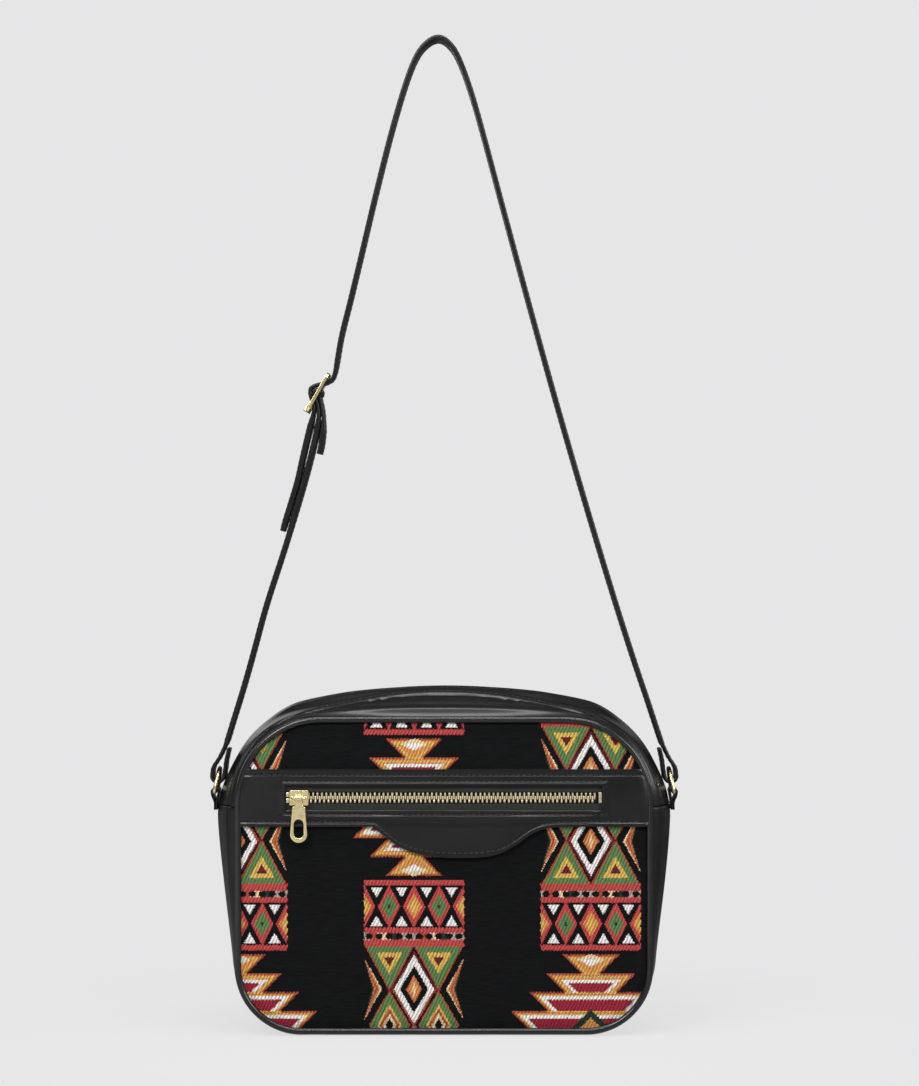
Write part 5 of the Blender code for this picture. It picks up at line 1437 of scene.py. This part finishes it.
def long_strap_line():
    """From the right ring up over the top, through the buckle, to the punched free end."""
    line, thick = ring_loop(1)
    run = evened([at_run(1, high, out) for high, out in RIGHT_RUN]
                 + [at_run(-1, high, out) for high, out in LEFT_UPPER_RUN], 1)
    through = [(22.0, -0.6), (17.0, -2.4), (12.0, -3.4), (9.0, -2.3), (6.0, 0.2), (3.2, 3.3), (0.0, 4.9),
               (-3.2, 3.3), (-6.0, 0.2), (-9.0, -2.4), (-12.0, -3.7)]
    tail = [(-19.0, -5.6), (-27.2, -7.9), (-38.8, -11.3), (-50.3, -14.8), (-62.3, -17.6), (-74.3, -20.2),
            (-81.0, -21.8)]
    line += run + [at_buckle(*place) for place in through + tail]
    thick += [STRAP_THICKNESS] * len(run) + [STRAP_THICKNESS, STRAP_THICKNESS - 0.4 * MM]
    thick += [STRAP_SKIVED] * (len(through) - 2)
    thick += [STRAP_THICKNESS + 0.5 * MM] * (len(tail) - 1) + [STRAP_THICKNESS]
    return smooth_line(line, thick, 5)


def short_strap_line():
    """From the buckle's bar down to the left ring, folded back and sewn at both ends."""
    wrap = (BUCKLE_BAR + 0.2 * MM + STRAP_SKIVED / 2) / MM
    near = [(-30.8, -18.4), (-25.0, -16.6), (-18.0, -13.6), (-12.0, -10.6), (-7.6, -7.6), (-4.4, -4.9)]
    near += [(wrap * math.sin(math.radians(angle)), -wrap * math.cos(math.radians(angle)))
             for angle in spread(-30.0, 225.0, 12)]
    near += [(-4.4, -1.4), (-7.4, -4.4), (-12.0, -7.2), (-18.0, -9.7), (-25.3, -12.1), (-36.9, -15.4),
             (-48.6, -18.4), (-60.4, -21.0)]
    line = [at_buckle(*place) for place in near]
    start_z = line[-1][1] - 12.0 * MM
    run = [at_run(-1, high, out) for high, out in LEFT_LOWER_RUN]
    run = [point for point in run if point[1] < start_z]
    loop, loop_thick = ring_loop(-1)
    doubled = STRAP_THICKNESS + 0.5 * MM
    thick = [doubled if along < -17.0 else STRAP_SKIVED for along, _ in near]
    thick += [STRAP_THICKNESS] * len(run) + loop_thick
    eased = line[:-2] + evened(line[-2:] + run, 1)
    return smooth_line(eased + loop[::-1], thick, 4)


def strap_piece(node, line, thicknesses, width):
    """A strap or tab along its line, in the place of its CAD node."""
    shape = ribbon(node + "_soft", line, thicknesses, width)
    return place_piece(node + "_soft", shape, strap_leather, [node])


long_line, long_thick = long_strap_line()
punched(strap_piece("long_strap", long_line, long_thick, STRAP_WIDTH),
        [slot_cutter("prong_slot", -11.0, 0.5), hole_cutter(-30.0, -8.7), hole_cutter(-50.0, -14.7)])
short_line, short_thick = short_strap_line()
punched(strap_piece("short_strap", short_line, short_thick, STRAP_WIDTH),
        [slot_cutter("short_slot", -6.4, 4.2)])


def tab_line(side):
    """A ring tab: down the gusset, round the ring's bar, and down again."""
    fold = RING_WIRE + FIT + TAB_THICKNESS / 2
    leg = (TAB_THICKNESS + FIT) / 2
    inner_x = BAR_X - RING_SET_OUT
    outer_x = inner_x + 2 * leg
    bend_z = BAR_Z - 6.0 * MM
    neck_z = BAR_Z - 2.8 * MM
    line = [(inner_x, BAR_Z - TAB_DROP), (inner_x, bend_z), (BAR_X - fold * 0.75, neck_z)]
    line += arc((BAR_X, BAR_Z), fold, 195.0, -15.0, 11)
    line += [(BAR_X + fold * 0.75, neck_z), (outer_x, bend_z), (outer_x, BAR_Z - TAB_DROP)]
    return smooth_line([(side * x, z) for x, z in line], [TAB_THICKNESS] * len(line), 3)


for side, place_name in ((-1, "left"), (1, "right")):
    strap_piece("ring_tab_" + place_name, *tab_line(side), TAB_WIDTH)


# Stitching: thick bonded black thread, sewn by machine along the pocket's edges, both sides of the
# main zip and the edges of the strap. Each stitch lies in its groove and dips at its ends.
STITCH_STEP = 3.2 * MM
STITCH_TURN = math.radians(4.0)
THREAD_RADIUS = 0.24 * MM
THREAD_SIDES = 6


def thread_material():
    """Bonded black polyester thread, twisted to the left, with a waxy sheen, painted shade in the grooves of
    the twist and painted highlight on its plies.
    """
    material, tree, shader = new_finish("bonded_black_thread", {"Roughness": 0.42})
    where = add_node(tree, "ShaderNodeTexCoord").outputs["Object"]
    turned = add_node(tree, "ShaderNodeMapping", {"Vector": where}, {"Rotation": (0.6, 0.5, 0.4)})
    twist = add_node(tree, "ShaderNodeTexWave", {"Vector": turned.outputs[0]},
                     {"Scale": 900.0, "Distortion": 1.2}).outputs["Fac"]
    # The colour follows the twist: painted shade in its grooves, painted highlight on its plies.
    tint = add_node(tree, "ShaderNodeMapRange", {"Value": twist}, {"To Min": 0.006, "To Max": 0.020})
    tree.links.new(tint.outputs[0], shader.inputs["Base Color"])
    add_bump(tree, shader, twist, 0.6, 0.05 * MM)
    return material


def stitch_shape():
    """One stitch: a thick thread that rises from its hole and dips into the next one."""
    work = bmesh.new()
    turns = [index * 2 * math.pi / THREAD_SIDES for index in range(THREAD_SIDES)]
    rings = []
    for share in (-1.0, -0.86, -0.5, 0.0, 0.5, 0.86, 1.0):
        along = share * STITCH_STEP * 0.42
        low = -0.42 * MM * share ** 6
        radius = THREAD_RADIUS * (1.0 - 0.35 * share ** 4)
        rings.append([work.verts.new((along, radius * math.cos(turn), low + radius * math.sin(turn)))
                      for turn in turns])
    for here, there in zip(rings, rings[1:]):
        for side in range(THREAD_SIDES):
            beside = (side + 1) % THREAD_SIDES
            work.faces.new((here[side], here[beside], there[beside], there[side]))
    work.faces.new(rings[0])
    work.faces.new(rings[-1][::-1])
    bmesh.ops.recalc_face_normals(work, faces=work.faces)
    return as_mesh(work, "stitch")


black_thread = thread_material()
one_stitch = stitch_shape()


def sewn(name, surface, closed=False):
    """A row of stitches along points on a surface, each given with the way that faces out of it."""
    if closed:
        surface = surface + surface[:1]
    places = []
    walked = 0.0
    due = STITCH_STEP / 2
    for (start, out), (stop, _) in zip(surface, surface[1:]):
        run = Vector(stop) - Vector(start)
        while run.length > 0 and walked + run.length >= due:
            along = run.normalized()
            side = Vector(out).cross(along).normalized()
            up = along.cross(side)
            turned = Matrix((along, side, up)).transposed().to_4x4()
            spot = Vector(start) + along * (due - walked)
            places.append(Matrix.Translation(spot) @ turned @ Matrix.Rotation(STITCH_TURN, 4, "Z"))
            due += STITCH_STEP
        walked += run.length
    return place_piece(name, joined(name, one_stitch, places), black_thread, [])


def on_pocket(points):
    """Places in the XZ plane, brought out to the pocket's face."""
    return [((x, POCKET_FACE - pocket_out(x, z) - 0.12 * MM, z), (0.0, -1.0, 0.0)) for x, z in points]


pocket_side = pull_inside(SEAM_WIDTH, POCKET_HIGH, 3.0 * MM)[0]
top_run = [(x, POCKET_HIGH - TOP_STITCH_INSET) for x in spread(-pocket_side, pocket_side, 160)]
hem_run = [(x, hem_at(x) + HEM_STITCH_INSET + 0.1 * MM) for x in spread(-pocket_side, pocket_side, 240)]
sewn("pocket_top_stitches", on_pocket(top_run))
sewn("pocket_hem_stitches", on_pocket(hem_run))
frame_x = WINDOW_HALF + WINDOW_STITCH_INSET
frame_z = WINDOW_HEIGHT / 2 + WINDOW_STITCH_INSET
window_round = []
for sign in (1, -1):
    window_round += [(sign * x, ZIP_Z + sign * frame_z) for x in spread(-frame_x, frame_x, 120)]
    window_round += [(sign * frame_x, ZIP_Z + sign * z) for z in spread(frame_z, -frame_z, 20)[1:-1]]
sewn("pocket_window_stitches", on_pocket(window_round), closed=True)


def on_gusset(mark, depth):
    """A place on the gusset with its outward direction."""
    _, _, out_x, out_z = seam_at(nearer_side(mark))
    slope = (gusset_point(mark, depth + 0.5 * MM)[2] - gusset_point(mark, depth - 0.5 * MM)[2]) / MM
    return gusset_point(mark, depth, 0.1 * MM), Vector((out_x, -slope, out_z)).normalized()


for side, place_name in ((-1, "front"), (1, "rear")):
    strip_run = []
    for mark in spread(SHOULDER_START + 22.0 * MM, 2 * TOP_MIDDLE - SHOULDER_START - 22.0 * MM, 200):
        across_x = seam_at(nearer_side(mark))[0]
        strip_run.append(on_gusset(mark, side * (zip_strip_edge(across_x) - 2.4 * MM)))
    sewn(f"zip_strip_{place_name}_stitches", strip_run)
    slot_run = [on_gusset(mark, side * (TOP_SLOT_WIDTH / 2 + 2.2 * MM))
                for mark in spread(CREST_START, 2 * TOP_MIDDLE - CREST_START, 160)]
    sewn(f"zip_slot_{place_name}_stitches", slot_run)


def on_strap(line, thicknesses, side, face):
    """The stitched groove near one side of a strap, on one of its faces, clear of the ends."""
    run = []
    for (x, z), (nx, nz), thick in list(zip(line, across_of(line), thicknesses))[2:-2]:
        up = face * (thick / 2 - 0.06 * MM)
        run.append(((x + nx * up, side * STRAP_WIDTH * 0.39, z + nz * up), (face * nx, 0.0, face * nz)))
    return run


for strap_name, line, thick in (("long_strap", long_line, long_thick),
                                ("short_strap", short_line, short_thick)):
    for side, side_name in ((-1, "front"), (1, "rear")):
        for face, face_name in ((-1, "inner"), (1, "outer")):
            sewn(f"{strap_name}_{side_name}_{face_name}_stitches", on_strap(line, thick, side, face))
